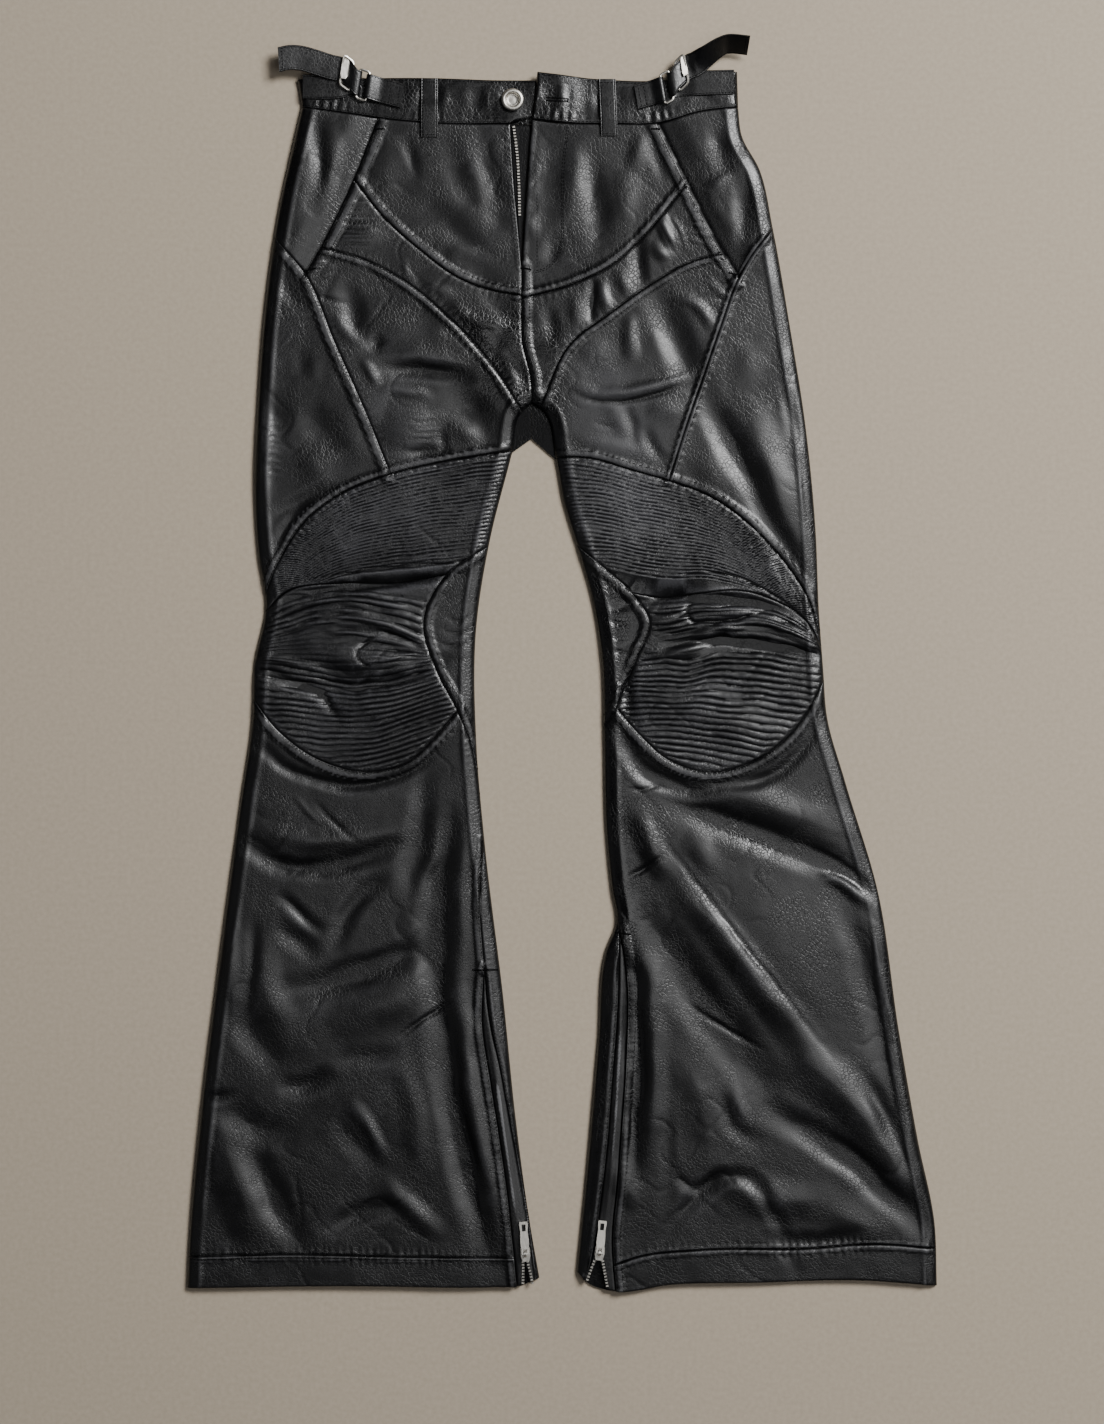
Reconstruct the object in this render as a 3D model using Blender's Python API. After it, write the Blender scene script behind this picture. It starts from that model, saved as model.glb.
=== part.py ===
"""Coated flared trousers laid flat, front up.

Metres, +Z up. +X runs to the wearer's left leg, +Y to the waist, and the back lies on z = 0.
The front is one relief over the back. It is cut along its seams into sewn pieces, and each
piece is a closed wall. The tables and the functions that read them are in millimetres.
"""

import math
from collections import namedtuple

import bmesh
import bpy
import numpy as np
from mathutils import Matrix, Vector, geometry

MM = 0.001

# Walls and gaps
SEAM_GAP = 0.3  # between two pieces that meet
CLOTH = 2.2  # one layer with its seam allowances
BAND_CLOTH = 2.6  # doubled waistband
TAPE = 1.2  # zip tape
STRAP = 1.2  # side adjuster strap
TAB = 1.0  # each layer of the tab that holds a ring

# Heights of the front's outer face over the surface
FLAT = 7.6  # where nothing lifts it
LOWEST = 5.1  # where a fold presses it on the back
BAND_FLAT = 6.2
BAND_LAP = 3.6  # how much the left band rises to pass over the right one
LAP_FROM, LAP_TO = 24, -4  # x over which it rises
POCKET_BED = 4.8  # outer face of the hip panel under the pocket mouth
POCKET_RUN = 26  # over which the hip panel sinks to that bed
POCKET_REACH = 8  # how far it goes on under the front

# Edges
ROLL = 13  # the front rounds down to the side over this width
BAND_ROLL = 8
UNDER_ROUND = ((0, 1.7), (0.5, 0.5), (1.6, 0))  # inset and height of the rounding under the back

# Spacing of the points that shape the walls
SEAM_STEP = 21
GRID = 30
CREST_STEP = 20
ROLL_ROWS = (1.3, 4.6, 9.5)
EDGE_CLEAR = 1.5  # nearest that a point inside a piece comes to its edge
FOLD_STEPS = 10
OUTLINE_SHARE = 0.03  # of the rounding: a point with less than this is on the outline
OVERRUN = 5  # seams are drawn past their ends by this much, then cut where they cross
MERGE = 1.2  # corners nearer than this become one

# Ribs
RIB_ROWS = (0.0, 0.3, 0.7)  # groove and two shoulders, as shares of the pitch
THIGH_RIB_RISE = 1.3
KNEE_RIB_RISE = 1.9
RIB_POINT_STEP = 24
RIB_FADE = 4.5  # the ribs flatten into a seam over this width

# Seams and outlines. "right" and "left" are the wearer's.
CURVES = {
    "right": {
        "outer": ((-232, 496), (-240, 462), (-251, 412), (-263, 333), (-271, 235), (-274, 155), (-270, 93),
                  (-264, 54), (-274, 0), (-276, -49), (-286, -120), (-308, -285), (-322, -400), (-332, -512),
                  (-334, -555)),
        "inner": ((-27, 232), (-36, 224), (-44, 190), (-64, 111), (-76, 35), (-76, -72), (-69, -156),
                  (-52, -298), (-41, -405), (-29, -494), (-20, -546)),
        "hem": ((-334, -555), (-188, -553), (-62, -554), (-37, -553), (-20, -546)),
        "waist": ((-232, 496), (-188, 490), (-144, 484), (-100, 481), (-46, 481)),
        "pocket": ((-164, 483), (-185, 431), (-214, 371), (-228, 347)),
        "yoke": ((-185, 431), (-161, 400), (-126, 368), (-89, 342), (-60, 332), (-36, 328)),
        "thigh": ((-214, 371), (-178, 361), (-144, 344), (-100, 308), (-64, 269), (-36, 226)),
        "side": ((-256, 380), (-228, 347), (-202, 287), (-175, 226), (-152, 169)),
        "rib_top": ((-44, 190), (-100, 181), (-152, 169), (-197, 151), (-233, 122), (-252, 91), (-266, 58)),
        "knee_top": ((-265, 46), (-246, 64), (-197, 72), (-144, 73), (-103, 80)),
        "gusset": ((-65, 106), (-103, 80), (-123, 40), (-111, -7), (-93, -41), (-80, -76), (-72, -122)),
        "knee_arc": ((-274, -32), (-251, -60), (-215, -85), (-175, -95), (-140, -88), (-113, -64), (-93, -41)),
        "inseam": ((-69, -156), (-73, -209), (-69, -270)),
        "zip_front": ((-69, -270), (-71, -316), (-63, -374), (-56, -418), (-49, -467), (-44, -512), (-40, -553)),
        "zip_back": ((-69, -270), (-64, -316), (-55, -358), (-45, -414), (-36, -463), (-29, -507), (-24, -548)),
        "hem_seam": ((-333, -527), (-233, -525), (-144, -527), (-43, -528)),
    },
    "left": {
        "outer": ((157, 496), (160, 472), (176, 441), (188, 388), (203, 302), (217, 213), (226, 120), (229, 48),
                  (233, -7), (236, -45), (252, -103), (281, -200), (300, -325), (317, -423), (332, -498),
                  (334, -553)),
        "inner": ((-27, 232), (-18, 226), (-6, 184), (1, 146), (13, 106), (27, 57), (35, 4), (37, -67),
                  (39, -147), (44, -200), (48, -229), (39, -254), (32, -334), (22, -449), (13, -540)),
        "hem": ((13, -540), (25, -552), (48, -558), (96, -552), (176, -550), (265, -548), (334, -553)),
        "waist": ((-27, 485), (-2, 482), (43, 481), (87, 482), (123, 492), (157, 496)),
        "pocket": ((84, 482), (111, 427), (142, 366), (157, 343)),
        "yoke": ((111, 427), (89, 399), (69, 376), (43, 354), (7, 337), (-36, 325)),
        "thigh": ((142, 366), (114, 358), (83, 341), (43, 313), (7, 285), (-20, 228)),
        "side": ((188, 388), (167, 361), (157, 343), (140, 297), (123, 248), (108, 204), (95, 163)),
        "rib_top": ((-6, 184), (25, 183), (60, 173), (95, 163), (132, 149), (167, 124), (198, 91), (217, 62),
                    (229, 29)),
        "knee_top": ((62, 64), (87, 59), (123, 63), (158, 66), (189, 57), (216, 40), (231, 16)),
        "gusset": ((17, 103), (39, 85), (62, 64), (78, 38), (67, 6), (57, -18), (49, -39), (37, -56)),
        "knee_arc": ((49, -39), (69, -62), (94, -84), (127, -95), (167, -87), (198, -66), (219, -40),
                     (233, -14)),
        "zip_front": ((48, -226), (54, -250), (58, -285), (57, -352), (53, -414), (49, -467), (45, -512),
                      (48, -558)),
        "zip_back": ((51, -238), (50, -298), (45, -369), (40, -432), (33, -489), (27, -525), (21, -550)),
        "hem_seam": ((45, -535), (69, -527), (123, -521), (212, -520), (283, -516), (334, -520)),
    },
    "middle": {
        "fly_right": ((-46, 481), (-43, 431), (-38, 377), (-36, 354)),
        "fly_left": ((-27, 485), (-30, 440), (-33, 395), (-36, 354)),
        "centre": ((-36, 354), (-36, 326), (-35, 284), (-28, 255), (-27, 232)),
    },
}
PERIMETER = {"outer", "inner", "hem", "waist", "fly_right", "fly_left", "centre"}
INWARD = {("right", "outer"): 1, ("right", "inner"): -1, ("left", "inner"): 1, ("left", "outer"): -1}

# Spot inside each piece of the front
SEEDS = {
    "front_yoke_right": (-100, 420),
    "front_yoke_left": (30, 420),
    "front_middle_right": (-120, 340),
    "front_middle_left": (60, 345),
    "hip_side_right": (-220, 430),
    "hip_side_left": (140, 440),
    "thigh_front_right": (-120, 240),
    "thigh_front_left": (60, 240),
    "thigh_side_right": (-240, 220),
    "thigh_side_left": (180, 220),
    "thigh_ribs_right": (-120, 120),
    "thigh_ribs_left": (90, 110),
    "knee_ribs_right": (-190, 0),
    "knee_ribs_left": (140, 0),
    "knee_gusset_right": (-90, 20),
    "knee_gusset_left": (50, 20),
    "shin_right": (-180, -300),
    "shin_left": (150, -300),
    "hem_band_right": (-180, -540),
    "hem_band_left": (200, -535),
    "inseam_strip_right": (-52, -330),
    "inseam_strip_left": (38, -350),
    "ankle_zip_tape_right": (-50, -450),
    "ankle_zip_tape_left": (48, -450),
}

# The open end of each ankle zip: apex and the two ends on the hem
ZIP_MOUTHS = {
    "right": ((-35, -560), (-33, -532), (-27, -560)),
    "left": ((17, -561), (33.5, -531), (41, -566)),
}

# Soft bumps (+) and troughs (-) of the cloth along a curve: half width and rise
Fold = namedtuple("Fold", "start middle end width rise")
FOLDS = (
    # hip, yoke and seat of the right leg
    Fold((-222, 489), (-223, 449), (-233, 400), 11, 1.6),
    Fold((-205, 484), (-209, 449), (-215, 408), 9, -1.4),
    Fold((-122, 426), (-82, 400), (-42, 368), 15, 2.2),
    Fold((-108, 393), (-75, 375), (-46, 354), 10, -1.0),
    Fold((-95, 308), (-73, 293), (-55, 269), 8, -2.4),
    Fold((-75, 303), (-59, 310), (-44, 308), 6, 2.4),
    Fold((-56, 321), (-50, 297), (-49, 278), 9, -2.4),
    # right thigh
    Fold((-162, 270), (-117, 264), (-77, 256), 9, -2.4),
    Fold((-166, 286), (-122, 282), (-82, 278), 13, 1.6),
    Fold((-151, 251), (-117, 242), (-82, 239), 10, 1.8),
    Fold((-144, 231), (-122, 214), (-103, 198), 18, 2.4),
    Fold((-258, 127), (-228, 147), (-190, 166), 9, -2.0),
    Fold((-255, 297), (-260, 235), (-261, 164), 16, 1.2),
    # right knee
    Fold((-233, 80), (-180, 84), (-108, 88), 6, 4.5),
    Fold((-260, 57), (-188, 54), (-126, 50), 13, 5.5),
    Fold((-246, 22), (-188, 22), (-128, 22), 17, 4.5),
    Fold((-274, 8), (-197, -12), (-121, 9), 7, -4.6),
    Fold((-267, -19), (-197, -24), (-108, -12), 12, 3.0),
    Fold((-255, -54), (-188, -72), (-117, -51), 20, 2.2),
    # right shin
    Fold((-277, -134), (-228, -152), (-171, -149), 14, 2.6),
    Fold((-288, -149), (-233, -169), (-157, -165), 11, -2.8),
    Fold((-226, -117), (-203, -140), (-178, -158), 7, -2.0),
    Fold((-112, -74), (-117, -129), (-130, -196), 7, -2.6),
    Fold((-78, -107), (-98, -152), (-122, -200), 13, 4.2),
    Fold((-95, -156), (-100, -236), (-96, -307), 11, -3.6),
    Fold((-96, -298), (-85, -387), (-66, -512), 13, -3.4),
    Fold((-82, -165), (-88, -236), (-84, -307), 11, 4.6),
    Fold((-84, -298), (-71, -396), (-51, -507), 13, 4.0),
    Fold((-249, -193), (-226, -227), (-208, -254), 10, -2.0),
    Fold((-148, -184), (-178, -220), (-202, -254), 11, -2.0),
    Fold((-236, -291), (-175, -270), (-107, -245), 14, -2.6),
    Fold((-233, -305), (-171, -298), (-112, -276), 16, 2.6),
    Fold((-281, -289), (-276, -343), (-233, -368), 14, -2.0),
    Fold((-290, -223), (-294, -289), (-288, -356), 10, 2.2),
    Fold((-302, -385), (-273, -440), (-267, -512), 26, 2.8),
    Fold((-157, -343), (-155, -423), (-142, -498), 24, 2.2),
    # hip, yoke and seat of the left leg
    Fold((-18, 484), (-21, 430), (-26, 370), 13, 1.6),
    Fold((13, 457), (13, 395), (9, 346), 12, 2.0),
    Fold((28, 457), (32, 400), (27, 333), 9, -1.2),
    Fold((145, 475), (149, 435), (148, 391), 12, 2.0),
    Fold((162, 431), (164, 393), (161, 361), 8, -2.0),
    # left thigh
    Fold((94, 331), (103, 288), (121, 249), 11, -2.4),
    Fold((69, 306), (74, 280), (83, 257), 14, 1.8),
    Fold((23, 248), (69, 244), (118, 256), 9, 2.6),
    Fold((12, 193), (65, 182), (123, 160), 8, 1.8),
    Fold((136, 248), (164, 191), (192, 130), 15, -3.0),
    Fold((187, 142), (203, 104), (220, 64), 10, -2.4),
    Fold((163, 244), (196, 177), (219, 106), 17, 3.4),
    # left knee
    Fold((50, 77), (105, 70), (192, 64), 6, 4.2),
    Fold((83, 48), (127, 50), (180, 55), 8, 4.2),
    Fold((83, 25), (145, 32), (216, 33), 8, 4.2),
    Fold((91, 8), (154, 23), (228, 16), 9, -4.4),
    Fold((87, -23), (140, -26), (212, -35), 24, 4.6),
    # left shin
    Fold((114, -108), (176, -131), (231, -154), 14, -3.4),
    Fold((225, -151), (254, -169), (283, -199), 10, -2.8),
    Fold((127, -149), (198, -167), (256, -193), 18, 2.8),
    Fold((98, -169), (140, -232), (189, -285), 14, 3.6),
    Fold((185, -280), (225, -334), (274, -387), 15, 3.0),
    Fold((78, -193), (118, -264), (167, -320), 14, -3.0),
    Fold((163, -316), (212, -383), (265, -430), 15, -3.2),
    Fold((256, -424), (296, -451), (329, -487), 12, -2.8),
    Fold((252, -196), (267, -263), (287, -338), 10, -1.8),
    Fold((57, -254), (69, -307), (70, -369), 8, -3.2),
    Fold((70, -365), (69, -405), (65, -445), 7, -2.0),
    Fold((78, -254), (86, -334), (84, -432), 12, 3.0),
    Fold((83, -510), (149, -476), (243, -508), 12, -2.0),
    Fold((114, -414), (163, -440), (238, -467), 24, 2.2),
)

# Ribs run along guide curves; counts are the ribs between one guide and the next
RibField = namedtuple("RibField", "guides counts rise")
RIB_FIELDS = {
    "thigh_ribs_right": RibField(
        (
            CURVES["right"]["rib_top"],
            ((-66, 90), (-108, 80), (-152, 77), (-189, 73), (-217, 61), (-242, 38), (-252, 13)),
        ),
        (20,),
        THIGH_RIB_RISE,
    ),
    "thigh_ribs_left": RibField(
        (
            CURVES["left"]["rib_top"],
            ((21, 84), (44, 80), (72, 74), (100, 72), (130, 68), (165, 56), (196, 36), (212, 8), (216, -22)),
        ),
        (20,),
        THIGH_RIB_RISE,
    ),
    "knee_ribs_right": RibField(
        (
            ((-276, 46), (-197, 68), (-100, 66)),
            ((-278, -3), (-197, 4), (-105, 15)),
            ((-280, -112), (-188, -112), (-84, -67)),
        ),
        (8, 14),
        KNEE_RIB_RISE,
    ),
    "knee_ribs_left": RibField(
        (
            ((46, 57), (123, 56), (180, 57), (240, 35)),
            ((62, 8), (140, 13), (240, 2)),
            ((30, -85), (123, -104), (240, -101)),
        ),
        (7, 14),
        KNEE_RIB_RISE,
    ),
}

# Waistband
BAND_TOP = {
    "right": ((-236, 521), (-174, 522), (-117, 522), (-55, 520), (-8, 520)),
    "left": ((-22, 527), (34, 521), (87, 520), (123, 526), (156, 528)),
}
BUTTON_END = ((-30, 486), (-8, 486))  # foot of the button extension
BAND_BACK_TOP = ((-236, 519), (-174, 520), (-40, 518), (90, 518), (156, 526))
WAIST_BACK = ((-232, 496), (-130, 484), (-27, 481), (60, 484), (157, 496))
CENTRE_BACK = ((-27, 481), (-27, 201))
BACK_CROTCH = {"right": (-44, 189), "left": (-6, 183)}

# Button on the right extension: radius and height over the band, from the middle outwards and back
BUTTON_AT = (-44, 502)
BUTTON_PROFILE = ((0, 0), (4.2, 0), (4.2, 2.2), (9.8, 2.2), (11, 3.1), (10.6, 4.4), (9, 5), (7, 4.7), (5.6, 3.6),
                  (0, 3.2))
BUTTON_SIDES = 18

# Belt loops: foot and head, width and wall
LOOP_WIDTH, LOOP_CLOTH = 15.5, 1.4
LOOPS = {"right": ((-118, 469), (-118, 521)), "left": ((42, 470), (40, 520.5))}

# Side adjusters
STRAP_WIDTH = 22
RING_LENGTH, RING_WIRE, RING_CORNER = 26, 1.2, 2.4
WRAP_GAP = 0.5
WRAP = RING_WIRE + WRAP_GAP + STRAP / 2  # from a bar's axis to the middle of the strap round it
TAB_WRAP = RING_WIRE + WRAP_GAP + TAB / 2
STRAP_LOW = BAND_FLAT + SEAM_GAP + STRAP / 2
TAB_LOW = BAND_FLAT + SEAM_GAP + TAB / 2
RING_LOW = STRAP_LOW + STRAP / 2 + SEAM_GAP + RING_WIRE  # a ring that lies on the strap
Bar = namedtuple("Bar", "x y z")
Station = namedtuple("Station", "x y z turn lean")  # turn and lean of the width from +Y, in degrees
Adjuster = namedtuple("Adjuster", "toward tab_end tab_bar front_bar low_bar top_bar turn run tail")
ADJUSTERS = {
    "right": Adjuster(
        1,
        (-142, 505.5),
        Bar(-172.5, 513.5, TAB_LOW + TAB_WRAP),
        Bar(-181.5, 516.5, STRAP_LOW + WRAP),
        Bar(-187, 522.5, RING_LOW),
        Bar(-195.5, 528.5, 11.3),
        9,
        (Station(-230.5, 514, STRAP_LOW, 0, 0), Station(-200, 514, STRAP_LOW, 2, 0)),
        (
            Station(-187, 522.5, 11.6, 9, 0),
            Station(-191, 526, 10.2, 10, 0),
            Station(-195.5, 528.5, 9.1, 10, 0),
            Station(-206, 531, 9.6, 12, 0),
            Station(-219, 535, 10.8, 14, 0),
            Station(-233, 538.5, 12.4, 6, 0),
            Station(-243, 538.5, 13.8, -2, 0),
            Station(-251.5, 536.5, 14.8, -4, 0),
        ),
    ),
    "left": Adjuster(
        -1,
        (66, 504.5),
        Bar(89, 511, TAB_LOW + TAB_WRAP),
        Bar(97, 515, STRAP_LOW + WRAP),
        Bar(102, 522, RING_LOW),
        Bar(110, 529.5, 11.6),
        -10,
        (Station(153, 518, STRAP_LOW, 0, 0), Station(120, 517, STRAP_LOW, -3, 0)),
        (
            Station(102, 522, 11.6, -10, 0),
            Station(106, 526, 10.5, -10, 0),
            Station(110, 529.5, 9.4, -11, 0),
            Station(118, 533, 11, -20, 13),
            Station(128, 539.5, 14, -34, 38),
            Station(140, 547.5, 15, -20, 48),
            Station(151, 550.5, 15, 2, 50),
            Station(165.5, 549, 15, 8, 50),
        ),
    ),
}

# Fly: reach of the shield past the opening, heights, and the tape's widths at the waist and the foot
SHIELD_REACH, SHIELD_TOP, SHIELD_HEAD = 8, 4.3, 479.5
FLY_TAPE_WIDTH, FLY_TAPE_FOOT, FLY_TAPE_TOP = 7.5, 1.6, 5.9
FLY_SHARE = 0.8  # of the opening's length that the tape runs

# Ankle zip sliders: place, and the turn of the zip's line from +Y
SliderPlace = namedtuple("SliderPlace", "x y turn")
SLIDERS = {"right": SliderPlace(-32.5, -523.5, 4), "left": SliderPlace(33.5, -522.5, -5.4)}
SLIDER_OUTLINE = ((-3, -7), (3, -7), (4.2, -2), (4.2, 4.5), (2.6, 7), (-2.6, 7), (-4.2, 4.5), (-4.2, -2))
SLIDER_HEIGHT = 2.8
PIVOT_RISE = 1.4  # pivot over the slider's top face
ARCH_IN, ARCH_OUT, ARCH_WIDTH, ARCH_STEPS = 1.6, 2.8, 2.0, 6
PULL_THICK = 1.3
PULL_DROOP = 4  # degrees that the tab hangs below level at rest
PULL_ROWS = ((-0.65, 3.2), (0.65, 3.4), (4.2, 3.2), (9, 3.8), (14, 3.6), (20, 3.2), (26, 3.8), (28.4, 3.6))
# PULL_ROWS: distance from the pivot and half width
PULL_HOLES = (1, 5)  # rows that are open in the middle: round the arch, and near the end
PULL_WINDOW = 1.75

COATED = "coated_cloth"
FINISHES = {  # linear colour, roughness, metallic
    COATED: ((0.012, 0.012, 0.013), 0.5, 0.0),
    "coated_cloth_ribbed": ((0.014, 0.014, 0.015), 0.48, 0.0),
    "coated_cloth_under": ((0.008, 0.008, 0.009), 0.6, 0.0),
    "zip_tape": ((0.006, 0.006, 0.006), 0.8, 0.0),
    "nickel": ((0.62, 0.61, 0.58), 0.25, 1.0),
}


def spline(points, spacing):
    """Points every spacing mm along a smooth curve through the given ones, ends included."""
    knots = np.array(points, float)
    runs = np.linalg.norm(np.diff(knots, axis=0), axis=1)
    slopes = np.diff(knots, axis=0) / runs[:, None]
    bends = slopes[:-1] * runs[1:, None] + slopes[1:] * runs[:-1, None]
    tangents = np.vstack([slopes[:1], bends / (runs[1:] + runs[:-1])[:, None], slopes[-1:]])
    stops = np.concatenate([[0], np.cumsum(runs)])
    at = np.linspace(0, stops[-1], max(2, round(stops[-1] / spacing) + 1))
    i = np.clip(np.searchsorted(stops, at, side="right") - 1, 0, len(runs) - 1)
    t = ((at - stops[i]) / runs[i])[:, None]
    run = runs[i][:, None]
    return (
        (2 * t**3 - 3 * t**2 + 1) * knots[i]
        + (t**3 - 2 * t**2 + t) * run * tangents[i]
        + (3 * t**2 - 2 * t**3) * knots[i + 1]
        + (t**3 - t**2) * run * tangents[i + 1]
    )


def nearest(points, route):
    """For each point: distance to a polyline, share along it (0 to 1) and the segment it is nearest to."""
    runs = np.diff(route, axis=0)
    offsets = points[:, None] - route[:-1]
    shares = np.clip((offsets * runs).sum(-1) / (runs**2).sum(-1), 0, 1)
    gaps = np.linalg.norm(offsets - shares[..., None] * runs, axis=-1)
    best = gaps.argmin(1)
    rows = np.arange(len(points))
    return gaps[rows, best], (best + shares[rows, best]) / len(runs), best


def smooth_step(value):
    value = np.clip(value, 0, 1)
    return value * value * (3 - 2 * value)


def fold_route(fold):
    """The fold's curve: a parabola from its start through its middle to its end."""
    start, middle, end = (np.array(p, float) for p in (fold.start, fold.middle, fold.end))
    control = 2 * middle - (start + end) / 2
    t = np.linspace(0, 1, FOLD_STEPS + 1)[:, None]
    return (1 - t) ** 2 * start + 2 * t * (1 - t) * control + t**2 * end


FOLD_ROUTES = [(fold, fold_route(fold)) for fold in FOLDS]
OUTLINES = [
    (spline(CURVES[side][name], SEAM_STEP), inward) for (side, name), inward in INWARD.items()
]
BAND_SIDES = [
    (np.array([BAND_TOP["right"][0], CURVES["right"]["waist"][0]], float), 1),
    (np.array([BAND_TOP["left"][-1], CURVES["left"]["waist"][-1]], float), -1),
]


def relief(points):
    """Height of the front's outer face, before its edges round down."""
    height = np.full(len(points), float(FLAT))
    for fold, route in FOLD_ROUTES:
        distance, share, _ = nearest(points, route)
        across = np.clip(1 - (distance / fold.width) ** 2, 0, None) ** 2
        height += fold.rise * across * np.sin(math.pi * share) ** 0.6
    over = height - LOWEST
    return LOWEST + (over + np.sqrt(over**2 + 1)) / 2


def steepness(points, height):
    """How much longer a wall measures straight up than square to its slope."""
    step = 0.5
    slope_x = (height(points + (step, 0)) - height(points - (step, 0))) / (2 * step)
    slope_y = (height(points + (0, step)) - height(points - (0, step))) / (2 * step)
    return np.minimum(np.sqrt(1 + slope_x**2 + slope_y**2), 1.4)


def to_outline(points, outlines):
    """Distance to the nearest outline, and the way in from it."""
    distance = np.full(len(points), np.inf)
    inward = np.zeros((len(points), 2))
    for route, side in outlines:
        gap, _, segment = nearest(points, route)
        runs = np.diff(route, axis=0)
        normals = side * np.column_stack([-runs[:, 1], runs[:, 0]])
        normals /= np.linalg.norm(normals, axis=1)[:, None]
        closer = gap < distance
        distance[closer] = gap[closer]
        inward[closer] = normals[segment][closer]
    return np.maximum(distance - SEAM_GAP / 2, 0), inward


class Sheet:
    """One layer over the back: its outer face, and an inner face that follows it."""

    def __init__(self, height, thickness, rim, roll, outlines, floor):
        self.height = height
        self.thickness = thickness
        self.rim = rim
        self.roll = roll
        self.outlines = outlines
        self.floor = floor

    def rounding(self, points):
        distance, inward = to_outline(points, self.outlines)
        share = np.clip(distance / self.roll, 0, 1)
        return share, np.sqrt(share * (2 - share)), inward

    def outer(self, points, raised=0):
        """Points of the outer face over the given ones, some raised a little more."""
        _, round_share, _ = self.rounding(points)
        height = self.rim + (self.height(points) - self.rim) * round_share
        return np.column_stack([points, height + raised * round_share])

    def inner(self, points, rim):
        """The inner face: moved down, and in from the outline where the outer face rounds down."""
        share, round_share, inward = self.rounding(points)
        wall = self.thickness * steepness(points, self.height)
        height = np.maximum(self.height(points) - wall, self.floor)
        moves = self.thickness * (1 - share)[:, None] * inward
        seams = [(a, b) for a, b in zip(rim, rim[1:] + rim[:1]) if share[a] > OUTLINE_SHARE or share[b] > OUTLINE_SHARE]
        if seams:
            room = np.min([nearest(points, points[[a, b]])[0] for a, b in seams], axis=0)
            shrink = np.minimum(1, room / (2 * self.thickness))
            beside = {}
            for a, b in seams:
                beside.setdefault(a, []).append(points[b] - points[a])
                beside.setdefault(b, []).append(points[b] - points[a])
            for i in range(len(points)):
                if i in beside:
                    way = sum(beside[i]) / np.linalg.norm(sum(beside[i]))
                    towards = way @ moves[i]
                    square = (towards / max(np.linalg.norm(moves[i]), 1e-9)) ** 2
                    moves[i] = way * towards / max(square, 0.3)
                else:
                    moves[i] *= 1 if share[i] < OUTLINE_SHARE else shrink[i]
        return np.column_stack([points + moves, self.rim + (height - self.rim) * round_share])


def inset(polygon, distances):
    """A counter-clockwise polygon with each edge moved in by its own distance."""
    polygon = np.array(polygon, float)
    edges = np.roll(polygon, -1, axis=0) - polygon
    lengths = np.linalg.norm(edges, axis=1)
    ways = edges / lengths[:, None]
    normals = np.column_stack([-ways[:, 1], ways[:, 0]])
    distances = np.broadcast_to(distances, len(polygon)).astype(float)
    moved = []
    for i, corner in enumerate(polygon):
        a, b = normals[i - 1], normals[i]
        da, db = distances[i - 1], distances[i]
        cross = a[0] * b[1] - a[1] * b[0]
        if abs(cross) < 0.02:
            moved.append(corner + (a * da + b * db) / 2)
        else:
            moved.append(corner + np.array([da * b[1] - db * a[1], db * a[0] - da * b[0]]) / cross)
    return np.array(moved)


def inside(points, polygon):
    """Which of the points lie in the polygon."""
    x, y = points[:, 0, None], points[:, 1, None]
    ax, ay = polygon[:, 0], polygon[:, 1]
    bx, by = np.roll(ax, -1), np.roll(ay, -1)
    spans = (ay > y) != (by > y)
    rise = np.where(by == ay, 1, by - ay)
    return (spans & (x < ax + (y - ay) * (bx - ax) / rise)).sum(1) % 2 == 1


def edge_distance(points, polygon):
    return nearest(points, np.vstack([polygon, polygon[:1]]))[0]


def triangulated(polygon, points=(), lines=()):
    """Plan points and triangles that fill a polygon through inner points and lines, and the polygon's indexes."""
    corners = [Vector(p) for p in polygon] + [Vector(p) for p in points]
    edges = []
    for line in lines:
        first = len(corners)
        corners += [Vector(p) for p in line]
        edges += [(first + i, first + i + 1) for i in range(len(line) - 1)]
    found = geometry.delaunay_2d_cdt(corners, edges, [range(len(polygon))], 1, 1e-4)
    flat = np.array([tuple(v) for v in found[0]])
    place = {source: i for i, sources in enumerate(found[3]) for source in sources}
    return flat, [tuple(face) for face in found[2]], [place[i] for i in range(len(polygon))], place


def pieces_of_front():
    """The counter-clockwise polygon of each seeded piece, where all the curves cut the plan."""
    corners, edges = [], []
    for side, curves in CURVES.items():
        for name, points in curves.items():
            route = spline(points, SEAM_STEP)
            if name not in PERIMETER:
                route = np.vstack([beyond(route[1], route[0]), route, beyond(route[-2], route[-1])])
            edges += [(len(corners) + i, len(corners) + i + 1) for i in range(len(route) - 1)]
            corners += [Vector(p) for p in route]
    for mouth in ZIP_MOUTHS.values():
        edges += [(len(corners) + i, len(corners) + i + 1) for i in range(2)]
        corners += [Vector(p) for p in mouth]
    points, found_edges, faces, _, sources, _ = geometry.delaunay_2d_cdt(corners, edges, [], 0, 0.4)
    cuts = {frozenset(edge) for edge, source in zip(found_edges, sources) if source}
    owner = {}
    for index, face in enumerate(faces):
        for a, b in zip(face, face[1:] + face[:1]):
            owner[a, b] = index
    plan = np.array([tuple(p) for p in points])
    off_outline = np.min([nearest(plan, route)[0] for route, _ in OUTLINES], axis=0)
    free = np.ones(len(plan), bool)
    for i in np.argsort(off_outline):
        if free[i]:
            close = free & (np.linalg.norm(plan - plan[i], axis=1) < MERGE)
            plan[close] = plan[i]
            free[close] = False
    return {
        name: loop_round(flooded(start_face(seed, plan, faces), faces, owner, cuts), faces, plan)
        for name, seed in SEEDS.items()
    }


def beyond(before, end):
    """A point a little past a seam's end, so that it crosses the seam it runs into."""
    return end + OVERRUN * (end - before) / np.linalg.norm(end - before)


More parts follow.
